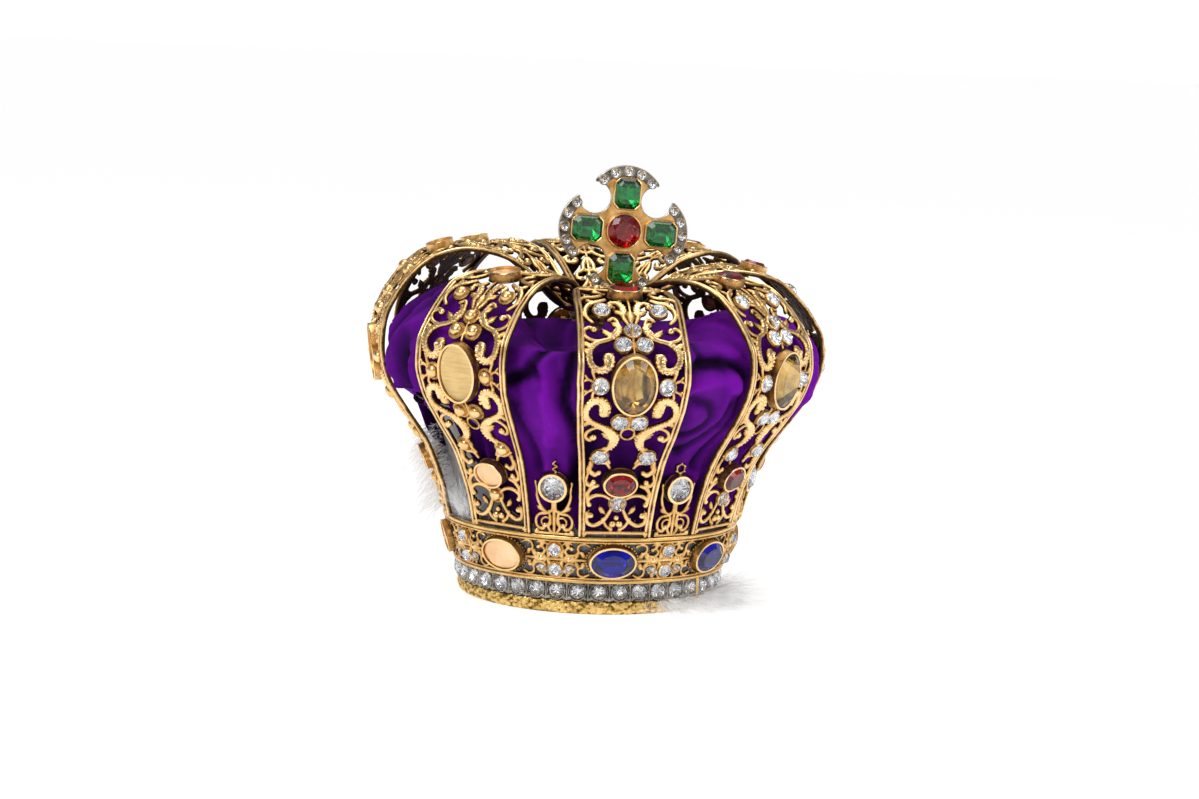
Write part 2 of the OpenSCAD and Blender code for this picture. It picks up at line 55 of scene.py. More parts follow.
# Half an arch's width by height, and by radius where it runs in to the hub
HALF_BY_Z = [(56, 24.5), (81, 26), (107, 29), (128, 33), (147, 36), (166, 37.5), (187, 37.3), (202, 36.5),
             (216, 35.8), (245, 35.5)]
HALF_BY_R = [(9.5, 3.2), (21.5, 8), (31, 11.6), (45, 17), (67, 25.3), (95, 33), (119, 35.4)]
# How much higher or lower each arch's crest is than the profile's: they are bent by hand
ARCH_LIFT = [-14, -6, -3, 5, 6, 6, 8, -6]
# Up to here all arches are the same length, and the rest is stretched or squeezed
EVEN_TO = 110
RAIL_W, RAIL_T = 4.7, 2.6
# Across a rail: distance from its middle, height, and how rubbed it is, below 0 on its underside as painted
# shade
RAIL_SECTION = [(-2.35, -2.4, -0.6), (-2.35, 0.0, 0.45), (-2.0, 0.5, 0.8), (-1.4, 0.75, 1.0), (-0.8, 0.5, 0.6),
                (-0.45, 0.12, 0.2), (0.0, 0.0, 0.05), (0.45, 0.12, 0.2), (0.8, 0.5, 0.6), (1.4, 0.75, 1.0),
                (2.0, 0.5, 0.8), (2.35, 0.0, 0.45), (2.35, -2.4, -0.6)]
# Settings of an arch: distance from its foot, width and height of the ovals, and size and places of the small
# stones as distance and side. The small stones are cut a little larger than the CAD's
LARGE_AT, LOWER_RED_AT, TOP_RED_AT = 122, 41, 208
LARGE_OVAL, RED_OVAL, CIRCLET_OVAL = (28, 38), (21, 17), (30, 21)
SMALL_D, SMALL_CUT_D = 10, 10.9
SMALL_AT = [(24.8, 0), (62, 15.7), (62, -15.7), (93, 6.3), (93, -6.3), (121, 22), (121, -22),
            (151, 7), (151, -7), (163, 0), (182, 19), (182, -19)]
BEZEL_T = 1.3
# A stone is this much smaller than the oval of its setting, and this thick at its girdle
STONE_ROOM, GIRDLE_T = 0.2, 0.35
# Between the circlet's ovals: two round stones, and a slanting pointed one to each side of the lower
CIRCLET_SMALL_Z, CIRCLET_SMALL_D = (31.5, 45.5), 8.8
POINTED, POINTED_AWAY, POINTED_SLANT = (10, 6.6), math.radians(5.5), math.radians(22)
# Circlet. Its height is measured along its slope
LOW_R, TOP_R, LOW_Z, TOP_Z, CIRCLET_H = 94.6, 102, 25, 52, 28
SLOPE = math.atan2(TOP_R - LOW_R, TOP_Z - LOW_Z)
MID_Z = (LOW_Z + TOP_Z) / 2
# Row of stones, and braid
ROW_R, ROW_MID_Z, ROW_COUNT, ROW_CUT_D = 91.5, 15.85, 40, 11.2
BRAID_R, BRAID_IN_R, BRAID_H = 91.5, 87.6, 9.5
# Fleurons, of which one is missing
MISSING_FLEURON = 6
FLEURON_Z, FLEURON_R, FLEURON_D = 89, 109.6, 17
FLEURON_FOOT_Z, FLEURON_FOOT_R = 54, 103
# The height at which the flat drawing starts, and its length for each mm of height
FLEURON_ORIGIN_Z, FLEURON_STRETCH = 70, 1.018
# Cross: height of its middle, reach of an arm, radius of an arm's end, lean, and the height it leans from
CROSS_Z, CROSS_REACH, CROSS_ARC_R, CROSS_LEAN, LEAN_Z = 256, 43, 26, math.radians(3.2), 205
CROSS_OFFSET, CROSS_SMALL_R, CROSS_SMALL_D = 12, 22.2, 6.3
RUBY_D, EMERALD, EMERALD_AT = 22.1, (16.8, 20.3), 24.6
# The cross of the photo is a little lower and larger than the one drawn here
CROSS_DROP, CROSS_SCALE = 1.5, 1.06
NOTCH_R, NOTCH_AT, PLATE_FRONT, PLATE_T = 10.3, 28.9, 4.1, 2.5


# ---------------------------------------------------------------- curves and places
def smooth_line(points, step):
    """Points every step along a smooth curve through the given ones, of any width."""
    given = np.array(points, float)
    padded = np.vstack([given[:1], given, given[-1:]])
    out = []
    for k in range(len(given) - 1):
        a, b, c, d = padded[k:k + 4]
        count = max(2, int(np.linalg.norm((c - b)[:2]) / step) + 1)
        u = np.linspace(0, 1, count, endpoint=False)[:, None]
        out.append(0.5 * (2 * b + u * (c - a) + u ** 2 * (2 * a - 5 * b + 4 * c - d)
                          + u ** 3 * (3 * b - a - 3 * c + d)))
    return np.vstack(out + [given[-1:]])


def lookup(x, table):
    return np.interp(x, [p[0] for p in table], [p[1] for p in table])


def rise(x, start, over):
    """0 up to start, then evenly up to 1."""
    return np.clip((x - start) / over, 0, 1)


def bell(x, middle, width):
    return np.exp(-((x - middle) / width) ** 2)


def turns(count):
    """Angles evenly round a circle."""
    return np.arange(count) * 2 * math.pi / count


def turned(side, out, z, turn):
    """Points so far to the side and out from the crown's axis, turned round it from the front."""
    x, y = side * np.cos(turn) + out * np.sin(turn), side * np.sin(turn) - out * np.cos(turn)
    return np.stack(np.broadcast_arrays(x, y, z), axis=-1)


def around(r, angle, z):
    """Points at a radius and an angle round from the front, as one list."""
    return turned(0, r, z, angle).reshape(-1, 3)


def level(outline, z):
    """A flat outline at a height."""
    return np.column_stack([outline, np.full(len(outline), z)])


def spun(outline, turn):
    """A flat outline turned about its origin."""
    c, s = math.cos(turn), math.sin(turn)
    return outline @ np.array([(c, s), (-s, c)])


def lifted(r, z, lift):
    """A point of the profile on an arch whose crest is raised by lift."""
    u = (z - 150) / 70 if r > 85 else (r - 31) / 54
    u = min(1, max(0, u)) if z > 150 else 0
    return r, z + lift * u * u * (3 - 2 * u)


def traced(points):
    """A line with the distance along it and its way at each point."""
    line = smooth_line(points, 1.0)
    way = np.gradient(line, axis=0)
    along = np.concatenate([[0], np.cumsum(np.linalg.norm(np.diff(line, axis=0), axis=1))])
    return line, along, way / np.linalg.norm(way, axis=1)[:, None]


MEAN = traced(PROFILE)
ARCH = [traced([lifted(r, z, lift) for r, z in PROFILE]) for lift in ARCH_LIFT]
ARCH_LENGTH = MEAN[1][-1]


def arch_line(s, i=None):
    """Radius, height and the two parts of the way of arch i, or the mean one, at distances from its foot."""
    line, along, way = MEAN if i is None else ARCH[i]
    s = np.asarray(s, float)
    s = s + (along[-1] - ARCH_LENGTH) * np.clip(s - EVEN_TO, 0, None) / (ARCH_LENGTH - EVEN_TO)
    return [np.interp(s, along, column) for column in (line[:, 0], line[:, 1], way[:, 0], way[:, 1])]


def arch_half(s):
    """Half the arch's width, at each distance from its foot."""
    r, z, _, _ = arch_line(s)
    return np.where((z < 190) | (r > 119), lookup(z, HALF_BY_Z), lookup(r, HALF_BY_R))


def bend_to_arch(points, i):
    """Flat (side, along, out) points bent to arch i, and turned to its place."""
    r, z, dr, dz = arch_line(points[:, 1], i)
    return turned(points[:, 0], r + dz * points[:, 2], z - dr * points[:, 2], TURN * i)


def bend_to_circlet(points):
    """Flat (round, up the slope, out) points bent to the circlet's cone."""
    r = LOW_R + points[:, 1] * math.sin(SLOPE) + points[:, 2] * math.cos(SLOPE)
    z = LOW_Z + points[:, 1] * math.cos(SLOPE) - points[:, 2] * math.sin(SLOPE)
    return around(r, points[:, 0] / ((LOW_R + TOP_R) / 2), z)


def place(turn, side, r, z, tilt):
    """Where a setting goes: x to the side, y up the face and z out of it."""
    return Matrix.Rotation(turn, 4, "Z") @ Matrix.Translation((side, -r, z)) @ Matrix.Rotation(tilt, 4, "X")


def on_arch(i, s, side=0):
    r, z, dr, dz = [float(x) for x in arch_line(s, i)]
    return place(TURN * i, side, r, z, math.atan2(dz, -dr))


def on_circlet(turn, z):
    return place(turn, 0, LOW_R + (z - LOW_Z) * math.tan(SLOPE), z, math.pi / 2 + SLOPE)


def on_row(k):
    return place(2 * math.pi / ROW_COUNT * (k + 0.5), 0, ROW_R, ROW_MID_Z, math.pi / 2)


def on_fleuron(g, z):
    r = float(np.interp(z, [FLEURON_FOOT_Z, FLEURON_Z], [FLEURON_FOOT_R, FLEURON_R]))
    slope = math.atan2(FLEURON_R - FLEURON_FOOT_R, FLEURON_Z - FLEURON_FOOT_Z)
    return place(TURN * (g + 0.5), 0, r, z, math.pi / 2 + slope)


def on_cross():
    lean = Matrix.Translation((CROSS_OFFSET, 0, LEAN_Z)) @ Matrix.Rotation(CROSS_LEAN, 4, "Y")
    face = Matrix.Translation((0, -PLATE_FRONT, CROSS_Z - CROSS_DROP - LEAN_Z))
    return lean @ face @ Matrix.Rotation(math.pi / 2, 4, "X") @ Matrix.Scale(CROSS_SCALE, 4)


# ---------------------------------------------------------------- meshes
class Shape:
    """Points and faces gathered from many forms. wear: 0 in a recess, 1 on a rubbed edge, below 0 painted
    shade.
    """

    def __init__(self):
        self.points, self.faces, self.slots, self.wear, self.count = [], [], [], [], 0

    def add(self, points, faces, at=None, slot=0, wear=1.0):
        points = np.asarray(points, float)
        if at is not None:
            m = np.array(at)
            points = points @ m[:3, :3].T + m[:3, 3]
        self.points.append(points)
        self.faces.extend([tuple(int(c) + self.count for c in f) for f in faces])
        self.slots.extend(slot if hasattr(slot, "__len__") else [slot] * len(faces))
        self.wear.append(np.broadcast_to(np.asarray(wear, float), (len(points),)))
        self.count += len(points)
        return self

    def make(self, name, looks, body="crown", slot="gilt_brass", replaces=(), smooth_angle=40):
        mesh = new_mesh(name, np.vstack(self.points), self.faces)
        wear = np.concatenate(self.wear).astype(np.float32)
        mesh.attributes.new("wear", "FLOAT", "POINT").data.foreach_set("value", wear)
        for look in looks:
            mesh.materials.append(look)
        mesh.polygons.foreach_set("material_index", np.array(self.slots, np.int32))
        if smooth_angle:
            mesh.shade_smooth()
            mesh.set_sharp_from_angle(angle=math.radians(smooth_angle))
        mesh.update()
        return piece(name, mesh, body, replaces)


def new_mesh(name, points, faces):
    mesh = bpy.data.meshes.new(name)
    mesh.from_pydata((np.asarray(points) * MM).tolist(), [], faces)
    return mesh


def new_object(name, data):
    made = bpy.data.objects.new(name, data)
    bpy.context.scene.collection.objects.link(made)
    return made


def piece(name, mesh, body="crown", replaces=()):
    made = new_object(name, mesh)
    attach(made, body)
    if replaces:
        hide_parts(*replaces)
    return made


def grid_faces(rows, columns, close_rows=False, close_columns=False):
    faces = []
    for i in range(rows if close_rows else rows - 1):
        for j in range(columns if close_columns else columns - 1):
            a, b = i * columns + j, i * columns + (j + 1) % columns
            c, d = (i + 1) % rows * columns + (j + 1) % columns, (i + 1) % rows * columns + j
            faces.append((a, b, c, d))
    return faces


def flipped(faces):
    return [face[::-1] for face in faces]


def ellipse(w, h, n, turn=0.0):
    angle = turns(n) + turn
    return np.stack([w / 2 * np.cos(angle), h / 2 * np.sin(angle)], axis=1)


def circle(d, n):
    return ellipse(d, d, n)


def octagon(w, h, cut):
    x, y = w / 2, h / 2
    corner = [(x, y - cut), (x - cut, y), (cut - x, y), (-x, y - cut)]
    return np.array(corner + [(-a, -b) for a, b in corner])


def rim(outline, section):
    """A closed wall that follows an outline. section is (distance out, height) points round the wall."""
    way = np.roll(outline, -1, axis=0) - np.roll(outline, 1, axis=0)
    out = np.stack([way[:, 1], -way[:, 0]], axis=1) / np.linalg.norm(way, axis=1)[:, None]
    points = np.vstack([level(outline + out * d, h) for d, h in section])
    return points, flipped(grid_faces(len(section), len(outline), True, True))


def bezel_section(wall, low, high):
    """The wall of a rubbed-over bezel, from its foot up the outside and down the inside."""
    return [(wall + 0.4, low), (wall + 0.4, low + 0.4), (wall - 0.1, low + 0.9), (wall - 0.3, high - 0.9),
            (wall - 0.05, high - 0.4), (wall - 0.3, high), (0.35, high + 0.12), (-0.15, high),
            (-0.2, high - 0.4), (0, high - 0.9), (0, low + 0.4), (0, low)]


def loft(rings):
    """Outlines of the same number of points, joined in turn and capped."""
    n = len(rings[0])
    faces = grid_faces(len(rings), n, False, True)
    faces.append(tuple(range(n))[::-1])
    faces.append(tuple(range((len(rings) - 1) * n, len(rings) * n)))
    return np.vstack(rings), faces


# ---------------------------------------------------------------- looks
def fill_ramp(ramp, stops):
    """Sets a colour ramp's stops, given in any order as (position, colour or grey)."""
    stops = sorted(stops, key=lambda stop: stop[0])
    for at, _ in stops[1:-1]:
        ramp.elements.new(at)
    for element, (at, colour) in zip(ramp.elements, stops):
        element.position = at
        element.color = (*colour, 1) if hasattr(colour, "__len__") else (colour, colour, colour, 1)


class Look:
    """A material on one Principled shader, with the nodes that drive it."""

    def __init__(self, name, **sockets):
        self.material = bpy.data.materials.new(name)
        self.material.use_nodes = True
        self.tree = self.material.node_tree
        self.shader = self.tree.nodes["Principled BSDF"]
        for socket, value in sockets.items():
            self.shader.inputs[socket.replace("_", " ")].default_value = value

    def node(self, kind, inputs=None, output=0, **settings):
        made = self.tree.nodes.new("ShaderNode" + kind)
        for key, value in settings.items():
            setattr(made, key, value)
        for key, value in (inputs or {}).items():
            if isinstance(value, bpy.types.NodeSocket):
                self.tree.links.new(value, made.inputs[key])
            else:
                made.inputs[key].default_value = value
        return made.outputs[output]

    def where(self):
        """Object coordinates, shifted at random for each object, so that repeats don't look alike."""
        coordinates, shift = self.node("TexCoord", output=3), self.node("ObjectInfo", output=5)
        return self.node("VectorMath", {0: coordinates, 1: shift}, operation="ADD")

    def noise(self, scale, detail=3.0, rough=0.6, at=None):
        return self.node("TexNoise", {"Vector": at or self.where(), "Scale": scale, "Detail": detail,
                                      "Roughness": rough})

    def ramp(self, value, *stops):
        made = self.tree.nodes.new("ShaderNodeValToRGB")
        self.tree.links.new(value, made.inputs[0])
        fill_ramp(made.color_ramp, stops)
        return made.outputs[0]

    def mix(self, share, a, b):
        made = self.tree.nodes.new("ShaderNodeMix")
        made.data_type = "RGBA"
        for socket, value in ((made.inputs[0], share), (made.inputs[6], a), (made.inputs[7], b)):
            if isinstance(value, bpy.types.NodeSocket):
                self.tree.links.new(value, socket)
            else:
                socket.default_value = (*value, 1) if hasattr(value, "__len__") else value
        return made.outputs[2]

    def attribute(self, name):
        return self.node("Attribute", output=2, attribute_name=name)

    def math(self, how, a, b):
        return self.node("Math", {0: a, 1: b}, operation=how)

    def add(self, a, b):
        return self.math("ADD", a, b)

    def times(self, a, b):
        return self.math("MULTIPLY", a, b)

    def bump(self, height, strength, distance):
        return self.node("Bump", {"Height": height, "Strength": strength, "Distance": distance})

    def drive(self, **sockets):
        for socket, value in sockets.items():
            self.tree.links.new(value, self.shader.inputs[socket.replace("_", " ")])
        return self.material


def gilt(name, bright, mid, dark, rough=(0.22, 0.55), grain=0.12, worn=None):
    """Worn gilding, bright on rubbed edges and brown in the recesses, with painted shade in darkest brown on
    backs and undersides.

    worn is how rubbed a mesh is that has no wear of its own.
    """
    look = Look(name, Metallic=1.0)
    wear = look.attribute("wear") if worn is None else look.times(1.0, worn)
    patches = look.noise(90, 5, 0.65)
    fine = look.noise(900, 3, 0.7)
    rubbed = look.add(look.times(wear, 0.75), look.times(look.math("SUBTRACT", patches, 0.5), 1.1))
    rubbed = look.add(rubbed, look.times(look.math("SUBTRACT", fine, 0.5), 0.5))
    # Backs and undersides fall below the first stop and take the darkest brown as painted shade
    colour = look.ramp(rubbed, (0.02, dark), (0.85, bright), (0.36, mid))
    roughness = look.ramp(rubbed, (0.0, rough[1]), (0.8, rough[0]))
    height = look.add(look.times(fine, 0.6), look.noise(260, 2, 0.5))
    return look.drive(Base_Color=colour, Roughness=roughness, Normal=look.bump(height, grain, 0.0006))


def glass(name, colour):
    look = Look(name, Transmission_Weight=1.0, IOR=1.6, Roughness=0.015, Specular_IOR_Level=0.3)
    return look.drive(Base_Color=look.mix(look.noise(220, 2, 0.5), colour, tuple(c * 0.82 for c in colour)))


def foil(name, colour, scale):
    look = Look(name, Metallic=1.0)
    spots = look.noise(scale, 3, 0.6)
    tint = look.ramp(spots, (0.25, tuple(c * 0.35 for c in colour)), (0.5, colour))
    return look.drive(Base_Color=tint, Roughness=look.ramp(spots, (0.3, 0.3), (0.6, 0.08)))


# Brown of the tarnish in recesses, and of the shade painted on backs and undersides
BROWN = (0.055, 0.026, 0.009)
GILT = gilt("worn_gilding", (0.98, 0.72, 0.36), (0.70, 0.40, 0.13), BROWN)
GILT_RAIL = gilt("rail_gilding", (1.0, 0.77, 0.43), (0.72, 0.43, 0.16), BROWN, (0.24, 0.5), 0.08)
GILT_WIRE = gilt("wire_gilding", (0.9, 0.62, 0.26), (0.62, 0.36, 0.10), BROWN)
BRAID = gilt("metal_thread", (0.95, 0.68, 0.27), (0.66, 0.42, 0.11), (0.14, 0.07, 0.016), (0.22, 0.6), 0.4)
SILVERED = gilt("tarnished_silvering", (0.60, 0.57, 0.52), (0.30, 0.27, 0.23), (0.06, 0.05, 0.04), (0.3, 0.6))
# Paste stones: the colour of the glass, the colour of the foil behind it, and the scale of the foil's spots
PASTE = {name: [glass(f"{name}_paste", colour), foil(f"{name}_foil", under, scale)]
         for name, colour, under, scale in (
    ("clear", (0.98, 0.985, 0.99), (0.86, 0.87, 0.9), 350),
    ("blue", (0.01, 0.02, 0.56), (0.09, 0.13, 0.88), 350),
    ("red", (0.52, 0.004, 0.035), (0.75, 0.10, 0.14), 350),
    ("green", (0.002, 0.36, 0.13), (0.16, 0.72, 0.38), 350),
    ("citrine", (0.86, 0.70, 0.34), (0.80, 0.62, 0.30), 45))}


# ---------------------------------------------------------------- cast scrollwork
class Relief:
    """A cast panel drawn flat with strokes, leaves and balls. inside is the distance in from its edge."""

    def __init__(self, low, high, step):
        self.low, self.step = np.array(low, float), step
        self.nx, self.ny = [int(round((b - a) / step)) + 1 for a, b in zip(low, high)]
        self.inside = np.full((self.ny, self.nx), -9.0)
        self.height = np.zeros((self.ny, self.nx))

    def axes(self):
        return self.low[0] + self.step * np.arange(self.nx), self.low[1] + self.step * np.arange(self.ny)

    def dab(self, x, y, r, lift):
        i0, j0 = [int((c - l - r - 1) / self.step) for c, l in zip((x, y), self.low)]
        i1, j1 = [int((c - l + r + 1) / self.step) + 2 for c, l in zip((x, y), self.low)]
        i0, j0 = max(0, i0), max(0, j0)
        if i1 <= i0 or j1 <= j0 or i0 >= self.nx or j0 >= self.ny:
            return
        part = np.s_[j0:j1, i0:i1]
        gx = self.low[0] + self.step * np.arange(i0, min(i1, self.nx))
        gy = self.low[1] + self.step * np.arange(j0, min(j1, self.ny))
        d = np.hypot(gx[None, :] - x, gy[:, None] - y)
        self.inside[part] = np.maximum(self.inside[part], r - d)
        self.height[part] = np.maximum(self.height[part], lift * np.sqrt(np.clip(1 - (d / r) ** 2, 0, 1)))

    def stroke(self, points, lift=1.0):
        """A stroke along (x, y, half width) points, higher where it is wider."""
        for x, y, r in smooth_line(points, 0.3):
            self.dab(x, y, r, lift * (0.45 + 0.55 * min(r, 3.2) ** 0.7))

    def lobes(self, points):
        """Rounded lobes along both sides of a stroke where it is wide."""
        line = smooth_line(points, 0.3)
        for k in range(4, len(line) - 4, 7):
            x, y, r = line[k]
            if r > 1.9:
                way = line[k + 2, :2] - line[k - 2, :2]
                across = np.array([-way[1], way[0]]) / (np.linalg.norm(way) + 1e-9) * r * 0.72
                for side in (-1, 1):
                    self.dab(x + side * across[0], y + side * across[1], r * 0.5, r * 0.85)

    def leaf(self, x, y, way, length, width, curl=0.0):
        """A pointed leaf from its stalk, with a raised rib and lobes to both sides."""
        angle = math.radians(way)
        bend = math.radians(curl)
        line = [(x, y)]
        for k in range(6):
            here = angle + bend * k / 5
            x, y = x + length / 6 * math.cos(here), y + length / 6 * math.sin(here)
            line.append((x, y))
        widths = [0.5, 0.8, 1, 0.9, 0.66, 0.4, 0.16]
        self.stroke([(a, b, max(0.45, width * w / 2)) for (a, b), w in zip(line, widths)], 1.05)
        for k, reach in ((1, 0.75), (2, 0.8), (3, 0.7), (4, 0.5)):
            here = angle + bend * k / 5
            for side in (-1, 1):
                out = here + side * math.radians(48)
                a, b = line[k]
                tip = (a + reach * width * math.cos(out), b + reach * width * math.sin(out))
                self.stroke([(a, b, 0.9), ((a + tip[0]) / 2, (b + tip[1]) / 2, 0.75), (*tip, 0.42)], 0.9)

    def leaves(self, table):
        """Leaves of the right half and their mirror images."""
        for x, y, way, length, width, curl in table:
            self.leaf(x, y, way, length, width, curl)
            self.leaf(-x, y, 180 - way, length, width, -curl)

    def ring(self, x, y, r, half, lift=1.0):
        self.stroke([(x + r * math.cos(a), y + r * math.sin(a), half)
                     for a in np.linspace(0, 2 * math.pi, 13)], lift)

    def beads(self, x, y, w, h, count, r, lift, start=0.0):
        """Balls evenly along an oval of half width w and half height h."""
        for a in turns(count) + start:
            self.dab(x + w * math.cos(a), y + h * math.sin(a), r, lift)

    def hole(self, x, y, w, h):
        """Clears an oval seat for a setting."""
        gx, gy = self.axes()
        u, v = (gx[None, :] - x) / (w / 2), (gy[:, None] - y) / (h / 2)
        away = (np.hypot(u, v) - 1) * min(w, h) / 2
        self.inside = np.minimum(self.inside, away)

    def trim(self, room):
        """Keeps only what has room, given as the distance in from the trimmed edge."""
        self.inside = np.minimum(self.inside, room)

    def solid(self, thick, grain):
        """The panel as a closed mesh: a domed face, a flat back and a wall along the edge."""
        gx, gy = self.axes()
        x, y = np.meshgrid(gx, gy)
        across = np.maximum(self.inside[:, :-1], self.inside[:, 1:])
        keep = np.maximum(across[:-1], across[1:]) > 0
        dy, dx = np.gradient(self.inside, self.step)
        outside = self.inside < 0
        steep = np.clip(dx ** 2 + dy ** 2, 0.3, None)
        shift = np.where(outside, np.clip(-self.inside / steep, 0, self.step * 1.2), 0)
        x, y = x + shift * dx, y + shift * dy
        z = np.where(outside, 0, self.height)
        z = z * (1 + grain * np.random.default_rng(1).normal(size=z.shape))
        rows, columns = np.nonzero(keep)
        corner = lambda j, i: j * self.nx + i
        top = np.stack([corner(rows + j, columns + i) for j, i in ((0, 0), (0, 1), (1, 1), (1, 0))], axis=1)
        edges = np.vstack([top[:, [0, 1]], top[:, [1, 2]], top[:, [2, 3]], top[:, [3, 0]]])
        key = edges[:, 0] * (self.nx * self.ny) + edges[:, 1]
        back_key = edges[:, 1] * (self.nx * self.ny) + edges[:, 0]
        free = edges[~np.isin(key, back_key)]
        used, index = np.unique(top, return_inverse=True)
        top = index.reshape(-1, 4)
        renumber = np.full(self.nx * self.ny, -1)
        renumber[used] = np.arange(len(used))
        free = renumber[free]
        count = len(used)
        face = np.stack([c.ravel()[used] for c in (x, y, z)], axis=1)
        back = face.copy()
        back[:, 2] = -thick
        wall = np.stack([free[:, 1], free[:, 0], free[:, 0] + count, free[:, 1] + count], axis=1)
        faces = np.vstack([top, top[:, ::-1] + count, wall])
        # The face is rubbed by its height and brown in its low parts; the flat back gets painted shade
        wear = np.concatenate([np.clip(face[:, 2] / 1.6, 0, 1), np.full(count, -0.8)])
        return np.vstack([face, back]), faces, wear


def mirrored(strokes):
    return [[(side * p[0], *p[1:]) for p in stroke] for stroke in strokes for side in (1, -1)]


# Right half of the scrolls on an arch: (side, along, half width), each stroke from its thin end to its curl
ARCH_SCROLLS = [
    # the foot: a scroll each side of the bead pair
    [(2.5, 25, 0.8), (4.5, 19, 1.1), (8, 12.5, 1.3), (13.5, 8.5, 1.4), (18.5, 9.5, 1.3), (20, 13.5, 1.2),
     (17.4, 16, 1.5)],
    [(9, 13, 1.0), (6.5, 8, 1.0), (3, 5.5, 1.1)],
    # beside the lower red oval
    [(3, 26, 0.9), (9, 30, 1.2), (15, 30.5, 1.3), (20, 27, 1.2), (19, 23, 1.3)],
    [(19.8, 24, 0.8), (21, 31, 1.1), (18.5, 36, 1.4), (14.5, 38, 1.2)],
    [(21.5, 57, 0.9), (21, 50, 1.3), (17.5, 46.5, 1.6), (14.8, 48.5, 1.3)],
    [(22, 47, 0.8), (23, 41, 1.2), (20, 38, 1.3), (17.6, 40.5, 1.5)],
    [(8, 52, 0.9), (11, 56, 1.1), (16, 56.5, 1.1), (22, 60, 0.9)],
    # lower S-scroll, up to the large oval
    [(8.5, 56, 0.8), (12.8, 65, 1.2), (9.6, 72, 2.1), (8.6, 79, 2.7), (12.5, 84.6, 2.3), (18.5, 88.6, 1.7),
     (25.5, 92.5, 1.7), (29.4, 97.5, 1.7), (29.4, 104, 1.8), (25.6, 109.4, 2.1), (20, 109.2, 2.6),
     (17.6, 104.6, 3.2), (17.8, 99.8, 3.0)],
    [(15, 85, 0.9), (21, 87.4, 1.0), (26.2, 84.5, 1.1), (27.6, 79.8, 1.1), (24.8, 76.6, 1.2), (22, 78.6, 1.6)],
    [(25.2, 108.5, 1.2), (26.8, 113, 0.95), (25.8, 117.5, 0.9)],
    # twigs that hold the side stone to the rail
    [(26.4, 118.6, 0.8), (30, 116.6, 0.85), (33.4, 117.6, 0.8)],
    [(30, 116.6, 0.8), (32.6, 113.6, 0.7)],
    [(26.4, 123.4, 0.8), (30, 125.2, 0.85), (33.4, 124, 0.8)],
    [(30, 125.2, 0.8), (32.4, 128.2, 0.7)],
    [(25.6, 125, 0.9), (27.4, 130, 1.0), (28, 135, 1.3)],
    # upper S-scroll, from the large oval to the top stone
    [(17.2, 141, 3.2), (16.8, 137, 2.8), (18.6, 133, 2.3), (23.5, 131.8, 1.9), (28, 135, 1.8), (30, 141, 1.7),
     (28.6, 148, 1.7), (23, 153.4, 1.6), (15.4, 156.4, 1.6), (10.4, 161.6, 2.2), (8.6, 167.6, 1.5),
     (9.8, 172.6, 0.9)],
    [(21, 154, 0.9), (27.4, 155.2, 1.1), (31.4, 158.4, 1.1), (32, 163, 1.1), (28.6, 166, 1.2),
     (25.4, 164, 1.6)],
    # round the last side stone and up to the top red oval
    [(2.6, 170, 0.9), (5, 177, 1.5), (4.6, 185, 1.8), (8.2, 191.4, 1.6), (13, 190.6, 1.4), (12.6, 186.6, 1.6)],
    [(25.8, 171, 1.0), (29.4, 176, 1.2), (29.6, 183, 1.4), (26, 189.6, 1.6), (20.4, 192.6, 1.6),
     (15.6, 196, 1.3)],
    [(9, 172, 0.9), (11.6, 175, 1.1), (15, 173, 1.0)],
    [(32, 194, 0.9), (29, 199, 1.2), (23.4, 200.4, 1.4), (18, 203.4, 1.3), (16.6, 209, 1.4), (19.8, 213, 1.7)],
    # over the top
    [(4, 219, 1.0), (10, 219.4, 1.4), (18.6, 220.6, 1.5), (25.4, 224, 1.5), (27, 229.6, 1.5),
     (22.6, 233, 1.7), (17, 231.4, 2.0), (16.4, 227, 2.4)],
    [(3, 222, 1.0), (6, 227, 1.7), (6.2, 233, 1.6), (10, 238, 1.5), (17, 241, 1.5), (20.4, 246, 1.4),
     (17.4, 250, 1.5), (12.6, 249, 1.9)],
    [(24, 233, 0.9), (27.4, 236.6, 0.9), (25.4, 241, 1.0), (22, 239.8, 1.3)],
    [(2.4, 239, 1.0), (4.6, 245.6, 1.6), (5, 252, 1.5), (9.6, 256.6, 1.3), (14.8, 259, 1.3), (15, 263.4, 1.3),
     (10.8, 265, 1.5), (8.4, 262, 1.8)],
    [(1.4, 260, 1.0), (3.6, 266.4, 1.5), (4.2, 272, 1.3), (8.4, 275.6, 1.2), (9, 279.6, 1.2),
     (5.8, 281.2, 1.5)],
    [(1, 278.6, 1.0), (2.6, 284.6, 1.3), (5.2, 288.6, 1.1), (4, 292, 1.1), (1.6, 293.6, 1.2)],
]
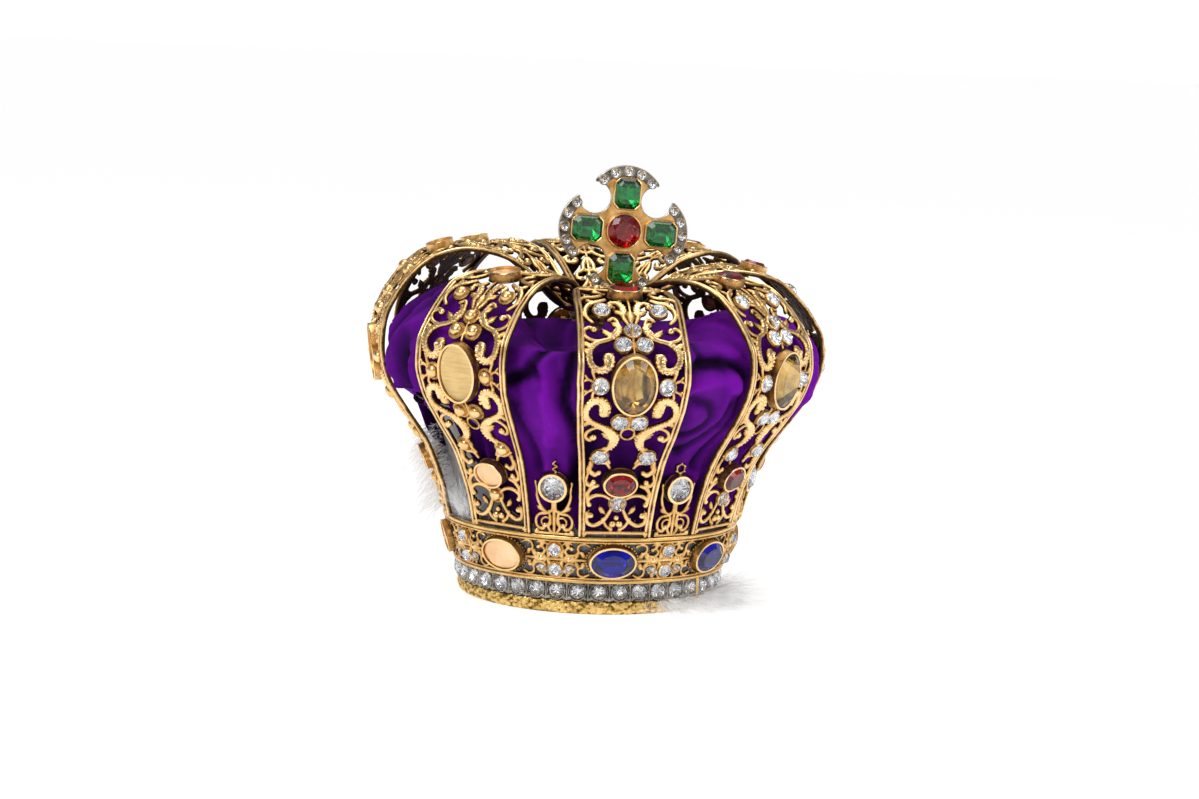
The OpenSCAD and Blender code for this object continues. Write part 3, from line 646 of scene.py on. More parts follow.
# Leaves of an arch: side, along, direction in degrees, length, width, curl
ARCH_LEAVES = [
    (24.5, 93.4, -28, 8.6, 3.2, -30), (9.4, 76, 62, 10.5, 4.2, -46), (10.4, 70, -35, 6, 2.6, 30),
    (29.6, 97, -62, 7, 2.6, 20), (27.6, 148.4, 52, 8.4, 3.2, -30), (12.6, 158, 30, 10.4, 3.8, 26),
    (30, 141.6, 74, 7.6, 2.6, -20), (9.2, 166, 70, 7, 3.2, -40), (17.8, 102, 250, 6, 3.6, -30),
    (17, 139, 105, 6, 3.6, 30), (22.6, 48, 100, 10, 3.2, 20), (23, 34, 250, 8, 3, -30),
    (8, 17, 40, 7, 2.6, 30), (3.4, 20, 100, 5, 2.4, 0), (28.6, 176, 40, 7, 3, 30), (6, 178, 60, 7, 3.2, -30),
    (24, 191, 50, 7, 2.8, 20), (24, 200, 60, 7, 2.8, 20), (8.4, 190, 110, 7, 2.8, 30),
    (25.6, 224.6, -20, 6.4, 2.8, 20), (6.2, 231, 120, 8, 3, 40), (18.4, 242, 10, 7, 2.6, 30),
    (5, 250, 130, 7, 2.6, 30), (14.6, 259.4, 20, 5, 2.2, 20), (4, 270, 120, 5.4, 2.2, 30),
    (21.4, 12, 100, 7.6, 2.6, 20),
]
ARCH_BALLS = [(17.2, 15.4, 2.0), (2.3, 9.4, 2.5), (0, 14, 2.0), (19, 23.4, 1.9), (14.9, 48, 1.9),
              (17.7, 40.8, 2.0), (22.4, 79, 2.5), (25.4, 164, 2.4), (12.8, 187, 2.2), (19.8, 212.6, 2.3),
              (16.6, 227.6, 2.9), (12.8, 249, 2.5), (22.2, 240, 1.8), (8.6, 262, 2.3), (6, 280.8, 1.8)]
# Strokes down the middle of an arch, and one along its foot
ARCH_STEM = [[(0, 88, 0.8), (0, 96, 0.9), (0, 101, 0.9)],
             [(0, 143, 0.9), (0, 152, 1.0), (0, 168, 1.0), (0, 198, 1.0)],
             [(0, 217, 1.0), (0, 230, 1.1), (0, 250, 1.0), (0, 304, 1.2)],
             [(-24, 3, 1.3), (0, 3, 1.3), (24, 3, 1.3)]]
PANEL_T = 1.1


def arch_panel():
    """The scrollwork of one arch, flat."""
    relief = Relief((-33.5, 2), (33.5, 304), 0.62)
    for stroke in mirrored(ARCH_SCROLLS):
        wider = [(x, y, r * 1.12 + 0.1) for x, y, r in stroke]
        relief.stroke(wider, 1.1)
        relief.lobes(wider)
    relief.leaves(ARCH_LEAVES)
    for x, y, r in ARCH_BALLS:
        for side in ({-1, 1} if x else {1}):
            relief.dab(side * x, y, r, r * 0.95)
    relief.ring(0, 82.5, 4.6, 0.95)
    for stroke in ARCH_STEM:
        relief.stroke(stroke)
    relief.leaf(0, 172, 90, 12, 5)
    for y in (221, 240, 258, 274, 288):
        relief.leaf(0, y, 90, 9, 3.6)
    for s, v in SMALL_AT:
        relief.ring(v, s, SMALL_D / 2 + 0.6, 0.9, 0.6)
    gx, gy = relief.axes()
    half = arch_half(gy) - RAIL_W
    relief.trim(half[:, None] + 0.7 - np.abs(gx)[None, :])
    relief.hole(0, LARGE_AT, LARGE_OVAL[0] + 1.6, LARGE_OVAL[1] + 1.6)
    for at in (LOWER_RED_AT, TOP_RED_AT):
        relief.hole(0, at, RED_OVAL[0] + 1.4, RED_OVAL[1] + 1.4)
    return relief


def make_arches():
    flat, faces, wear = arch_panel().solid(PANEL_T, 0.05)
    flat[:, 2] += 0.1
    for i in range(ARCHES):
        scrolls = Shape().add(bend_to_arch(flat, i), faces, wear=wear)
        scrolls.make(f"arch_scrollwork_{i + 1}", [GILT], replaces=[f"arch_filigree_{i + 1}"])
        arch_rails(i).make(f"arch_rails_{i + 1}", [GILT_RAIL], replaces=[f"arch_frame_{i + 1}"])


def arch_rails(i):
    """The two reeded rails of arch i, and the tab at the hub."""
    shape = Shape()
    s = np.arange(0, ARCH_LENGTH - 12, 2.0)
    wobble = np.random.default_rng(3 + i).normal(size=(len(s), 2)) * 0.12
    wobble = np.apply_along_axis(lambda c: np.convolve(c, np.ones(5) / 5, "same"), 0, wobble)
    for side in (-1, 1):
        rows = []
        for here, half, (aside, up) in zip(s, arch_half(s), wobble):
            middle = half - RAIL_W / 2 + aside
            squeeze = min(1.0, 2 * half / (2.2 * RAIL_W))
            row = [(side * (middle + d * squeeze), here, h - 0.1 + up * (h > 0)) for d, h, _ in RAIL_SECTION]
            rows.append(row)
        points, faces = loft(rows)
        wear = np.tile([w for _, _, w in RAIL_SECTION], len(rows))
        shape.add(bend_to_arch(points, i), flipped(faces) if side > 0 else faces, wear=wear)
    # the tab that the hub's plates clamp
    s = np.linspace(ARCH_LENGTH - 22, ARCH_LENGTH, 8)
    points, faces = loft([[(-h, a, -0.1), (h, a, -0.1), (h, a, -2.4), (-h, a, -2.4)]
                          for a, h in zip(s, arch_half(s) - 0.2)])
    return shape.add(bend_to_arch(points, i), flipped(faces), wear=0.3)


# ---------------------------------------------------------------- cut stones
def brilliant(d, girdle, table, depth, table_size=0.55):
    """A brilliant-cut stone: facets of the crown in glass, those under the girdle on foil."""
    eighth, under = math.pi / 8, girdle - GIRDLE_T
    rings = [(table_size, 0, table, 8),
             ((1 + table_size) / 2 + 0.03, eighth, girdle + (table - girdle) * 0.55, 8), (1, 0, girdle, 16),
             (1, 0, under, 16), (0.45, eighth, under - depth * 0.66, 8)]
    points = [level(ellipse(size * d, size * d, n, turn), z) for size, turn, z, n in rings]
    # where each ring of points after the table's starts, and the tip
    star, edge, lower_edge, low, tip = 8, 16, 32, 48, 56
    crown, back = [tuple(range(8))], []
    for k in range(8):
        before, a, b, c = (k - 1) % 8, 2 * k, 2 * k + 1, (2 * k + 2) % 16
        crown += [(k, star + k, (k + 1) % 8), (k, star + before, edge + a, star + k)]
        crown += [(star + k, edge + a, edge + b), (star + k, edge + b, edge + c)]
        back.append((tip, low + k, lower_edge + a, low + before))
        back += [(low + k, lower_edge + b, lower_edge + a), (low + k, lower_edge + c, lower_edge + b)]
    for j in range(16):
        crown.append((edge + j, lower_edge + j, lower_edge + (j + 1) % 16, edge + (j + 1) % 16))
    return np.vstack(points + [[(0, 0, under - depth)]]), crown + back, [0] * len(crown) + [1] * len(back)


def oval_cut(size, girdle, table, depth, table_size=0.72):
    """A large oval stone with a broad flat table and a keel along its longer way."""
    n, (w, h) = 16, size
    rings = [level(ellipse(k * w, k * h, n, math.pi / n), z)
             for k, z in ((table_size, table), (1, girdle), (1, girdle - GIRDLE_T))]
    long = np.array((0, 0.3 * h) if h >= w else (0.3 * w, 0))
    keel = level(np.array([long, -long]), girdle - GIRDLE_T - depth)
    crown = [tuple(range(n))]
    crown += [(a + k, a + n + k, a + n + (k + 1) % n, a + (k + 1) % n) for a in (0, n) for k in range(n)]
    edge = rings[2][:, :2]
    end = [0 if (edge[k] + edge[(k + 1) % n]) @ long > 0 else 1 for k in range(n)]
    back = []
    for k in range(n):
        back.append((3 * n + end[k], 2 * n + (k + 1) % n, 2 * n + k))
        if end[k] != end[k - 1]:
            back.append((3 * n + end[k], 2 * n + k, 3 * n + end[k - 1]))
    return np.vstack(rings + [keel]), crown + back, [0] * len(crown) + [1] * len(back)


def marquise(size, girdle, table, depth):
    """A pointed oval stone: a facet from each stretch of its edge to a small table, and a foiled keel."""
    outline = ellipse(*size, 12)
    outline[:, 1] *= np.abs(np.sin(turns(12))) ** 0.6
    points, faces = loft([level(outline * k, z) for k, z in (
        (0.15, girdle - depth), (1, girdle - 0.3), (1, girdle), (0.72, girdle + (table - girdle) * 0.7),
        (0.42, table))])
    return points, faces, [1] * 12 + [0] * 36 + [1, 0]


def step_cut(w, h, cut, girdle, table, depth):
    """A step-cut octagon with a narrow keel under it."""
    rings = [level(octagon(w * 0.12, h * 0.4, cut * 0.12), girdle - depth)]
    for size, z in ((0.62, girdle - depth * 0.55), (1, girdle - 0.4), (1, girdle),
                    (0.82, girdle + (table - girdle) * 0.62), (0.66, table)):
        rings.append(level(octagon(w * size, h * size, cut * size), z))
    points, faces = loft(rings)
    return points, faces, [1] * 16 + [0] * (len(faces) - 18) + [1, 0]


def stones(name, places, cut, paste, replaces=(), body="crown"):
    """Stones of one cut. A cut is its points, its faces, and 0 for glass or 1 for foil on each face."""
    shape = Shape()
    points, faces, slots = cut
    for at in places:
        shape.add(points, faces, at, slots)
    shape.make(name, PASTE[paste], body, f"{paste}_stones", replaces, smooth_angle=0)


def rims(name, places, outline, section, replaces, floor=None):
    """Gilt walls round stones, worn at their tops, with a floor under each stone if its height is given."""
    shape = Shape()
    points, faces = rim(outline, section)
    heights = np.array([h for _, h in section])
    wear = np.repeat(np.clip((heights - heights.min()) / (np.ptp(heights) + 1e-6), 0.05, 1), len(outline))
    for at in places:
        shape.add(points, faces, at, wear=wear)
        if floor is not None:
            shape.add(*loft([level(outline * 0.99, z) for z in (floor - 0.5, floor)]), at, wear=0.1)
    shape.make(name, [GILT], replaces=replaces)


def plates(name, places, size, section, look, wear, replaces):
    """Gilt plates in oval settings that hold no stone. section is (share of the oval's size, height)."""
    shape = Shape()
    points, faces = loft([level(ellipse(size[0] * k, size[1] * k, 56), z) for k, z in section])
    for at in places:
        shape.add(points, faces, at, wear=wear)
    shape.make(name, [look], slot="gold_plates", replaces=replaces)


def cut_size(oval):
    """The size of the stone in an oval setting."""
    return oval[0] - STONE_ROOM, oval[1] - STONE_ROOM


def make_settings():
    every, gem, plain = range(ARCHES), range(JEWELLED), range(JEWELLED, ARCHES)
    for name, at, size, low, high, table, paste, node, plate, plate_node in ARCH_OVALS:
        rims(f"{name}_settings", [on_arch(i, at) for i in every], ellipse(*size, 56),
             bezel_section(BEZEL_T, low, high), [f"{name}_bezels"])
        cut = oval_cut(cut_size(size), high - 0.5, table, 0.3 * min(size))
        stones(node, [on_arch(i, at) for i in gem], cut, paste, [node])
        dish = [(0.99, low + 0.5), (0.99, high - 2.2), (0.95, high - 2.6), (0.8, high - 3.0),
                (0.4, high - 3.15), (0.05, high - 3.2)]
        plates(f"{name}_plates", [on_arch(i, at) for i in plain], size, dish, plate, 0.75, [plate_node])
    rims("circlet_settings", [on_circlet(TURN * i, MID_Z) for i in every], ellipse(*CIRCLET_OVAL, 56),
         bezel_section(BEZEL_T, -1.0, 4.4), ["circlet_bezels"])
    stones("circlet_blue_stones_cut", [on_circlet(TURN * i, MID_Z) for i in gem],
           oval_cut(cut_size(CIRCLET_OVAL), 4.0, 6.6, 5.4, 0.66), "blue", ["circlet_blue_stones"])
    dome = [(0.99, -0.6), (0.99, 2.6), (0.95, 3.2), (0.8, 3.5), (0.4, 3.6), (0.05, 3.6)]
    plates("circlet_plates", [on_circlet(TURN * i, MID_Z) for i in plain], CIRCLET_OVAL, dome, PEACH, 0.8,
           ["circlet_gold_plates"])
    make_small_settings()
    fleurons = [on_fleuron(g, FLEURON_Z) for g in every if g != MISSING_FLEURON]
    rims("fleuron_settings", fleurons, circle(FLEURON_D, 40), bezel_section(1.7, -1.8, 4.2),
         ["fleuron_collets"], -1.2)
    cut = brilliant(FLEURON_D - 0.1, 4, 7, 4.6)
    stones("fleuron_clear_stones", fleurons, cut, "clear", ["fleuron_stones"])


def make_small_settings():
    """The small clear stones of the arches and circlet, and the gilt beads of the arches without stones."""
    small = [on_arch(i, s, v) for i in range(JEWELLED) for s, v in SMALL_AT]
    collet = [(0.6, -1.2), (0.5, 1.4), (0.32, 2.2), (0.1, 2.4), (-0.12, 2.3), (-0.02, 1.9), (0, -1.2)]
    rims("small_settings", small, circle(SMALL_CUT_D + 0.1, 28), collet, ["arch_small_collets"], -0.6)
    stones("small_stones", small, brilliant(SMALL_CUT_D, 2.5, 4.8, 2.7), "clear", ["arch_small_stones"])
    mids = [on_circlet(TURN * (i + 0.5), z) for i in range(ARCHES) for z in CIRCLET_SMALL_Z]
    rims("circlet_small_settings", mids, circle(CIRCLET_SMALL_D, 28), collet, ["circlet_small_collets"], -0.6)
    stones("circlet_clear_stones", mids, brilliant(CIRCLET_SMALL_D - 0.1, 2.5, 4.6, 2.6), "clear",
           ["circlet_small_stones"])
    pointed = []
    for i in range(ARCHES):
        for side in (-1, 1):
            at = on_circlet(TURN * (i + 0.5) + side * POINTED_AWAY, CIRCLET_SMALL_Z[0])
            pointed.append(at @ Matrix.Rotation(side * POINTED_SLANT, 4, "Z"))
    stones("circlet_pointed_stones", pointed, marquise(POINTED, 1.2, 2.9, 1.0), "clear")
    profile = [(4.4, -1.4), (5.0, -0.6), (5.1, 0.2), (4.5, 0.7), (4.2, 1.2)]
    wear = np.repeat([0.1, 0.3, 0.6, 0.2, 0.3] + [0.85] * 9, 28)
    for a in np.linspace(0.15, math.pi / 2 - 0.06, 9):
        profile.append((4.2 * math.cos(a), 1.2 + 3.4 * math.sin(a)))
    points, faces = loft([level(circle(2 * r, 28), z) for r, z in profile])
    beads = Shape()
    for i in range(JEWELLED, ARCHES):
        for s, v in SMALL_AT:
            beads.add(points, faces, on_arch(i, s, v), wear=wear)
    beads.make("gold_beads", [GILT], replaces=["arch_gold_beads"])


def plate_look(name, dark, light, rough, brushing):
    """Gilt plate with rubbed patches and, if brushed, fine lines round it."""
    look = Look(name, Metallic=1.0)
    stretched = look.node("Mapping", {"Vector": look.where(), "Scale": (60, 60, 900)})
    brush = look.noise(1.0, 4, 0.7, stretched)
    tint = look.ramp(look.mix(1 - brushing, brush, look.noise(70, 4, 0.6)), (0.3, dark), (0.65, light))
    roughness = look.ramp(brush, (0.2, rough[0]), (0.8, rough[1]))
    return look.drive(Base_Color=tint, Roughness=roughness, Normal=look.bump(brush, 0.16 * brushing, 0.0005))


PLATE = plate_look("brushed_plate", (0.50, 0.33, 0.12), (0.80, 0.58, 0.27), (0.28, 0.42), 0.6)
PEACH = plate_look("rose_gilt_plate", (0.84, 0.53, 0.28), (0.98, 0.72, 0.45), (0.38, 0.55), 0.2)
# Ovals of an arch: name, how far along it, size, foot and top of the wall, top of the stone, the stone's
# colour and name, and the look and node of the plate where there is no stone
ARCH_OVALS = [
    ("large", LARGE_AT, LARGE_OVAL, -2.6, 4.6, 7.6, "citrine", "citrine_stones", PLATE, "large_gold_plates"),
    ("lower_red", LOWER_RED_AT, RED_OVAL, -1.4, 5.4, 7.4, "red", "lower_red_stones", PEACH,
     "lower_gold_plates"),
    ("top_red", TOP_RED_AT, RED_OVAL, -1.4, 5.4, 7.4, "red", "top_red_stones", PEACH, "top_gold_plates")]


# ---------------------------------------------------------------- light, floor and camera
def make_stage():
    """A white floor up to the horizon, a world that is white low down and darker above, and soft lamps."""
    look = Look("white_floor", Roughness=0.7, Emission_Strength=FLOOR_GLOW)
    look.shader.inputs["Emission Color"].default_value = (1, 1, 1, 1)
    look.drive(Base_Color=look.mix(look.noise(3, 2, 0.5), (0.50, 0.50, 0.50), (0.52, 0.52, 0.52)))
    mesh = new_mesh("floor", level(circle(2 * FLOOR_R / MM, 48), 0), [tuple(range(48))])
    mesh.materials.append(look.material)
    new_object("floor", mesh)
    world = bpy.data.worlds.new("studio")
    world.use_nodes = True
    tree = world.node_tree
    where = tree.nodes.new("ShaderNodeTexCoord")
    parts = tree.nodes.new("ShaderNodeSeparateXYZ")
    ramp = tree.nodes.new("ShaderNodeValToRGB")
    tree.links.new(where.outputs["Generated"], parts.inputs[0])
    tree.links.new(parts.outputs["Z"], ramp.inputs[0])
    tree.links.new(ramp.outputs[0], tree.nodes["Background"].inputs["Color"])
    fill_ramp(ramp.color_ramp, SKY)
    bpy.context.scene.world = world
    for name, spot, width, power in LAMPS:
        light = bpy.data.lights.new(name, "AREA")
        light.size, light.energy = width, power
        new_object(name, light).matrix_world = looking(spot, LAMP_AIM)
    camera = bpy.data.cameras.new("camera")
    camera.lens, camera.sensor_width, camera.clip_end = 85, 36, 400
    eye = new_object("camera", camera)
    way = Vector((math.sin(EYE_TURN) * math.cos(EYE_RISE), -math.cos(EYE_TURN) * math.cos(EYE_RISE),
                  math.sin(EYE_RISE)))
    eye.matrix_world = looking(EYE_AIM + EYE_AWAY * way, EYE_AIM) @ Matrix.Rotation(EYE_ROLL, 4, "Z")
    bpy.context.scene.camera = eye
    bpy.context.scene.view_settings.view_transform = "Standard"


def looking(spot, aim):
    """Where a lamp or camera goes that stands at a spot and points at the aim."""
    way = (Vector(aim) - Vector(spot)).to_track_quat("-Z", "Y")
    return Matrix.Translation(spot) @ way.to_matrix().to_4x4()


FLOOR_GLOW, FLOOR_R = 0.74, 150
# Brightness of the world by the height of its direction, from the horizon up
SKY = [(0.0, 1.05), (0.08, 1.05), (0.16, 0.26), (0.5, 0.18), (0.78, 0.5), (1.0, 0.8)]
# Lamps: name, place in metres, width and power
LAMPS = [("key", (-1.3, -1.5, 1.8), 1.2, 24), ("fill", (1.7, -1.2, 1.1), 1.0, 9),
         ("top", (0.1, 0.4, 2.1), 1.4, 16)]
LAMP_AIM = (0, 0, 0.14)
# The camera stands this far round from the front, this far up and this far away from where it looks
EYE_TURN, EYE_RISE, EYE_AWAY, EYE_ROLL = math.radians(-9.5), math.radians(7), 1.985, math.radians(2.3)
EYE_AIM = Vector((0.0034, 0.0, 0.1355))


# ---------------------------------------------------------------- circlet, row of stones and braid
SECTOR = 2 * math.pi * (LOW_R + TOP_R) / 2 / ARCHES
# Right half of one sector of the circlet, centred on a large oval: (round, up, half width)
CIRCLET_SCROLLS = [
    [(15.4, 24.4, 0.8), (19, 26, 0.9), (22.6, 24.6, 1.0), (23, 20.8, 1.0), (20.2, 19, 1.2)],
    [(15.4, 3.6, 0.8), (19, 2, 0.9), (22.6, 3.4, 1.0), (23, 7.2, 1.0), (20.2, 9, 1.2)],
    [(22.8, 20, 0.8), (25.4, 17.6, 1.0), (29.4, 17, 1.2), (31.6, 19.6, 1.0), (29.8, 22.6, 1.0), (27, 22, 1.2)],
    [(22.8, 8, 0.8), (25.4, 10.4, 1.0), (29.4, 11, 1.2), (31.6, 8.4, 1.0), (29.8, 5.4, 1.0), (27, 6, 1.2)],
    [(18, 14, 0.9), (24, 14, 1.2), (29, 14, 1.5), (34, 14, 1.2), (38.8, 14, 1.2)],
    [(27, 25.6, 0.8), (30.4, 26.4, 0.8), (33, 25, 0.8)],
]
CIRCLET_LEAVES = [
    (25, 15, 120, 6, 2.6, -30), (25, 13, 240, 6, 2.6, 30), (33.4, 15, 60, 6.4, 3, 20),
    (33.4, 13, -60, 6.4, 3, -20), (29, 22.4, 60, 4.6, 2.2, 20), (29, 5.6, -60, 4.6, 2.2, -20),
    (20.6, 20, 250, 4.4, 2.2, 0), (20.6, 8, 110, 4.4, 2.2, 0),
]
CIRCLET_BALLS = [(20.4, 19.2, 1.5), (20.4, 8.8, 1.5), (27.2, 22, 1.5), (27.2, 6, 1.5), (29, 14, 2.2)]


def make_circlet():
    relief = Relief((-SECTOR / 2 - 0.3, 0), (SECTOR / 2 + 0.3, CIRCLET_H), 0.5)
    for stroke in mirrored(CIRCLET_SCROLLS):
        relief.stroke(stroke)
    relief.leaves(CIRCLET_LEAVES)
    middle = CIRCLET_H / 2
    for side in (-1, 1):
        for x, y, r in CIRCLET_BALLS:
            relief.dab(side * x, y, r, r)
        relief.beads(side * 29, middle, 2.7, 2.7, 6, 1.35, 1.2, 0.5)
        for y in (6.2, 21.2):
            relief.ring(side * SECTOR / 2, y, 5.5, 0.8, 0.8)
    relief.beads(0, middle, 17.7, 13.0, 40, 0.9, 0.8)
    for y in (0.6, CIRCLET_H - 0.6):
        relief.stroke([(-SECTOR / 2 - 1, y, 0.9), (0, y, 0.9), (SECTOR / 2 + 1, y, 0.9)])
    relief.hole(0, middle, CIRCLET_OVAL[0] + 1.6, CIRCLET_OVAL[1] + 1.6)
    flat, faces, wear = relief.solid(0.9, 0.06)
    shape = Shape()
    for i in range(ARCHES):
        shape.add(bend_to_circlet(flat), faces, Matrix.Rotation(TURN * i, 4, "Z"), wear=wear)
    shape.make("circlet_scrollwork", [GILT], replaces=["circlet_band"])
    wires = Shape()
    for r, z, thick in ((LOW_R - 0.6, LOW_Z - 1.6, 1.5), (TOP_R, TOP_Z + 1.9, 1.8)):
        wires.add(*ring_tube(r, z, thick), wear=0.8)
    wires.make("rim_wires", [GILT_WIRE], replaces=["lower_rim_wire", "upper_rim_wire"])


def ring_tube(r, z, thick, columns=360, rows=12):
    """A hand-drawn wire bent to a ring, a little uneven."""
    angle, a = turns(columns), turns(rows)[:, None]
    rng = np.random.default_rng(2)
    uneven = sum(rng.normal() * 0.10 * np.cos(n * angle + rng.uniform(0, 6)) for n in (3, 5, 8, 13, 21))
    radius = r + (thick + 0.05 * uneven) * np.cos(a) + 0.25 * uneven
    points = around(radius, angle, z + thick * np.sin(a) + 0.3 * uneven)
    return points, flipped(grid_faces(rows, columns, True, True))


def make_row():
    """The strip of clear stones: a cast square of silvered metal under each stone, set by hand."""
    pitch = 2 * math.pi * ROW_R / ROW_COUNT
    relief = Relief((-pitch / 2 - 0.2, -6.1), (pitch / 2 + 0.2, 6.1), 0.42)
    relief.inside[:] = 1.0
    relief.inside[[0, -1], :] = relief.inside[:, [0, -1]] = -0.05
    for side in (-1, 1):
        relief.stroke([(side * pitch / 2, -6, 0.9), (side * pitch / 2, 0, 0.7), (side * pitch / 2, 6, 0.9)],
                      1.2)
        relief.dab(side * 5.4, -4.9, 1.2, 1.0)
        relief.dab(side * 5.4, 4.9, 1.0, 0.8)
    relief.beads(0, 0, 5.5, 5.3, 8, 0.95, 2.0, math.pi / 8)
    relief.ring(0, 0, 6.0, 0.6, 1.6)
    relief.hole(0, 0, ROW_CUT_D, ROW_CUT_D)
    flat, faces, wear = relief.solid(1.2, 0.08)
    shape = Shape()
    for k in range(ROW_COUNT):
        turn = 2 * math.pi / ROW_COUNT * (k + 0.5) + flat[:, 0] / ROW_R
        shape.add(around(ROW_R + flat[:, 2] * 0.9, turn, ROW_MID_Z + flat[:, 1]), faces, wear=wear)
    shape.make("stone_row_strip_cast", [SILVERED], slot="silvered_metal", replaces=["stone_row_strip"])
    rng = np.random.default_rng(5)
    places = []
    for k in range(ROW_COUNT):
        tipped, twisted = rng.uniform(-0.06, 0.06), rng.uniform(0, 0.39)
        places.append(on_row(k) @ Matrix.Rotation(tipped, 4, "X") @ Matrix.Rotation(twisted, 4, "Z"))
    stones("row_of_stones", places, brilliant(ROW_CUT_D, 0.8, 2.9, 2.6), "clear", ["row_stones"])


def make_braid():
    """The braid as a padded ring with plaited metal thread."""
    columns, rows = 1300, 30
    angle = turns(columns)
    inner, outer, top = BRAID_IN_R, BRAID_R - 0.7, BRAID_H - 0.4
    line = smooth_line([(inner, 0.3), (inner + 0.6, 0.0), (outer - 3.0, 0.0), (outer - 1.0, 1.4),
                        (outer - 0.1, 3.6), (outer + 0.1, 6), (outer - 0.2, top - 0.8), (outer - 1.2, top),
                        (inner + 0.8, top), (inner, top - 0.6)], 0.8)
    where = np.linspace(0, len(line) - 1, rows)
    r, z = [np.interp(where, np.arange(len(line)), line[:, k])[:, None] for k in range(2)]
    out = np.hstack([np.gradient(z, axis=0), -np.gradient(r, axis=0)])
    out /= np.linalg.norm(out, axis=1)[:, None]
    rng = np.random.default_rng(8)
    grain = rng.normal(size=(rows, columns))
    grain = (grain + np.roll(grain, 1, 1) + np.roll(grain, 1, 0)) / 3
    across = np.arange(rows)[:, None] / 3.2
    drift = 0.6 * waves(angle, rng, (9, 17, 31), 1.0)
    plait = np.abs(np.sin(angle * 62 + across + drift)) * np.abs(np.sin(angle * 57 - across + drift * 0.6))
    knots = np.zeros((rows, columns))
    near_by = np.arange(-7, 8)
    for x, y, size in zip(rng.integers(0, columns, 1500), rng.uniform(0, rows, 1500),
                          rng.uniform(0.5, 1.0, 1500)):
        span = (near_by + x) % columns
        up = ((np.arange(rows) - y) / 1.9)[:, None]
        knots[:, span] = np.maximum(knots[:, span], size * np.clip(1 - (near_by / 4.6) ** 2 - up ** 2, 0, 1))
    lift = (0.3 * plait + 0.75 * knots ** 0.5 + 0.24 * grain) * rise(r, inner + 0.8, 1.2)
    lift = np.where(z < 0.4, np.minimum(lift, 0), lift)
    points = around(r + out[:, :1] * lift, angle, np.maximum(z + out[:, 1:] * lift, 0))
    wear = np.clip(0.15 + lift, 0, 1).ravel()
    braid = Shape().add(points, grid_faces(rows, columns, True, True), wear=wear)
    braid.make("plaited_braid", [BRAID], slot="braid", replaces=["base_braid"], smooth_angle=60)


FLEURON_SCROLLS = [
    [(1, 8.4, 1.0), (1.4, 3, 1.1), (5, 0.6, 1.2), (10, -0.4, 1.1), (12.4, -4, 1.1), (11.6, -8.6, 1.2),
     (8, -10.6, 1.3), (5.8, -7.6, 1.5)],
    [(3.4, 2, 1.0), (2.6, -4, 1.2), (4, -9, 1.2), (2, -12.6, 1.1)],
    [(5, 1.6, 0.9), (8, 4, 1.1), (10.6, 8.6, 1.2), (11.8, 13.4, 1.1)]]
FLEURON_TWIST = [(0.4, 0), (1.8, 1.6), (-0.6, 3.4), (2.4, 5.4), (-0.4, 7), (1.4, 9)]


def fleuron_relief(looped):
    """A fleuron drawn flat: foot on the circlet, claws round its stone, and a wire loop or a twist on top."""
    relief = Relief((-14, -14.4), (14, 40), 0.42)
    middle = (FLEURON_Z - FLEURON_ORIGIN_Z) * FLEURON_STRETCH
    claws = [[(11.6, middle - 5, 0.9), (11.8, middle - 1, 0.9), (12.6, middle + 2.4, 0.8)]]
    for stroke in mirrored(FLEURON_SCROLLS + claws):
        relief.stroke(stroke)
    for side in (-1, 1):
        relief.ring(side * 5.4, -5.6, 3.2, 0.85)
        relief.dab(side * 6.4, -8, 2.0, 2.0)
        relief.dab(side * 12, -12.2, 1.8, 1.6)
        relief.dab(side * 12.4, middle + 3, 1.2, 1.3)
        relief.leaf(side * 7, 2, 90 - side * 40, 6, 2.6, -side * 30)
    relief.stroke([(-13, -13.6, 0.9), (13, -13.6, 0.9)])
    relief.stroke([(0, -13, 1.1), (0, -4, 1.2), (0, middle - 9, 1.2)])
    low = middle + 9.2
    if looped:
        relief.ring(0, low + 5, 3.0, 0.75)
        relief.beads(0, low + 5, 3.4, 3.4, 6, 1.15, 1.3, 0.5)
        relief.stroke([(0, low, 0.9), (0, low + 2, 0.9)])
    else:
        relief.stroke([(x, low + up, 0.8) for x, up in FLEURON_TWIST], 1.2)
    return relief


def make_fleurons():
    """Wire loops and twists by turns, with none in the gap that has lost its fleuron."""
    shapes = [fleuron_relief(looped).solid(1.0, 0.05) for looped in (True, False)]
    shape = Shape()
    for g in range(ARCHES):
        if g != MISSING_FLEURON:
            flat, faces, wear = shapes[g % 2]
            shape.add(flat, faces, on_fleuron(g, FLEURON_ORIGIN_Z), wear=wear)
    shape.make("fleuron_scrollwork", [GILT], replaces=["fleuron_scrolls"])


# ---------------------------------------------------------------- cross
def cross_outline(inset=0.0, arc=CROSS_ARC_R, lowest=53.8, open_to=42):
    """The outline of the cross: four arcs of that radius and half angle, joined by round notches."""
    a = np.radians(np.linspace(-lowest, lowest, 19))[:, None]
    arm = (arc - inset) * np.hstack([np.cos(a), np.sin(a)]) + (CROSS_REACH - CROSS_ARC_R, 0)
    a = np.radians(np.linspace(360 - open_to, open_to, 19))[:, None]
    notch = (NOTCH_R + inset) * np.hstack([np.cos(a), np.sin(a)]) + (NOTCH_AT, 0)
    quarter = np.vstack([arm, spun(notch, math.pi / 4)])
    return np.vstack([spun(quarter, math.pi / 2 * k) for k in range(4)])


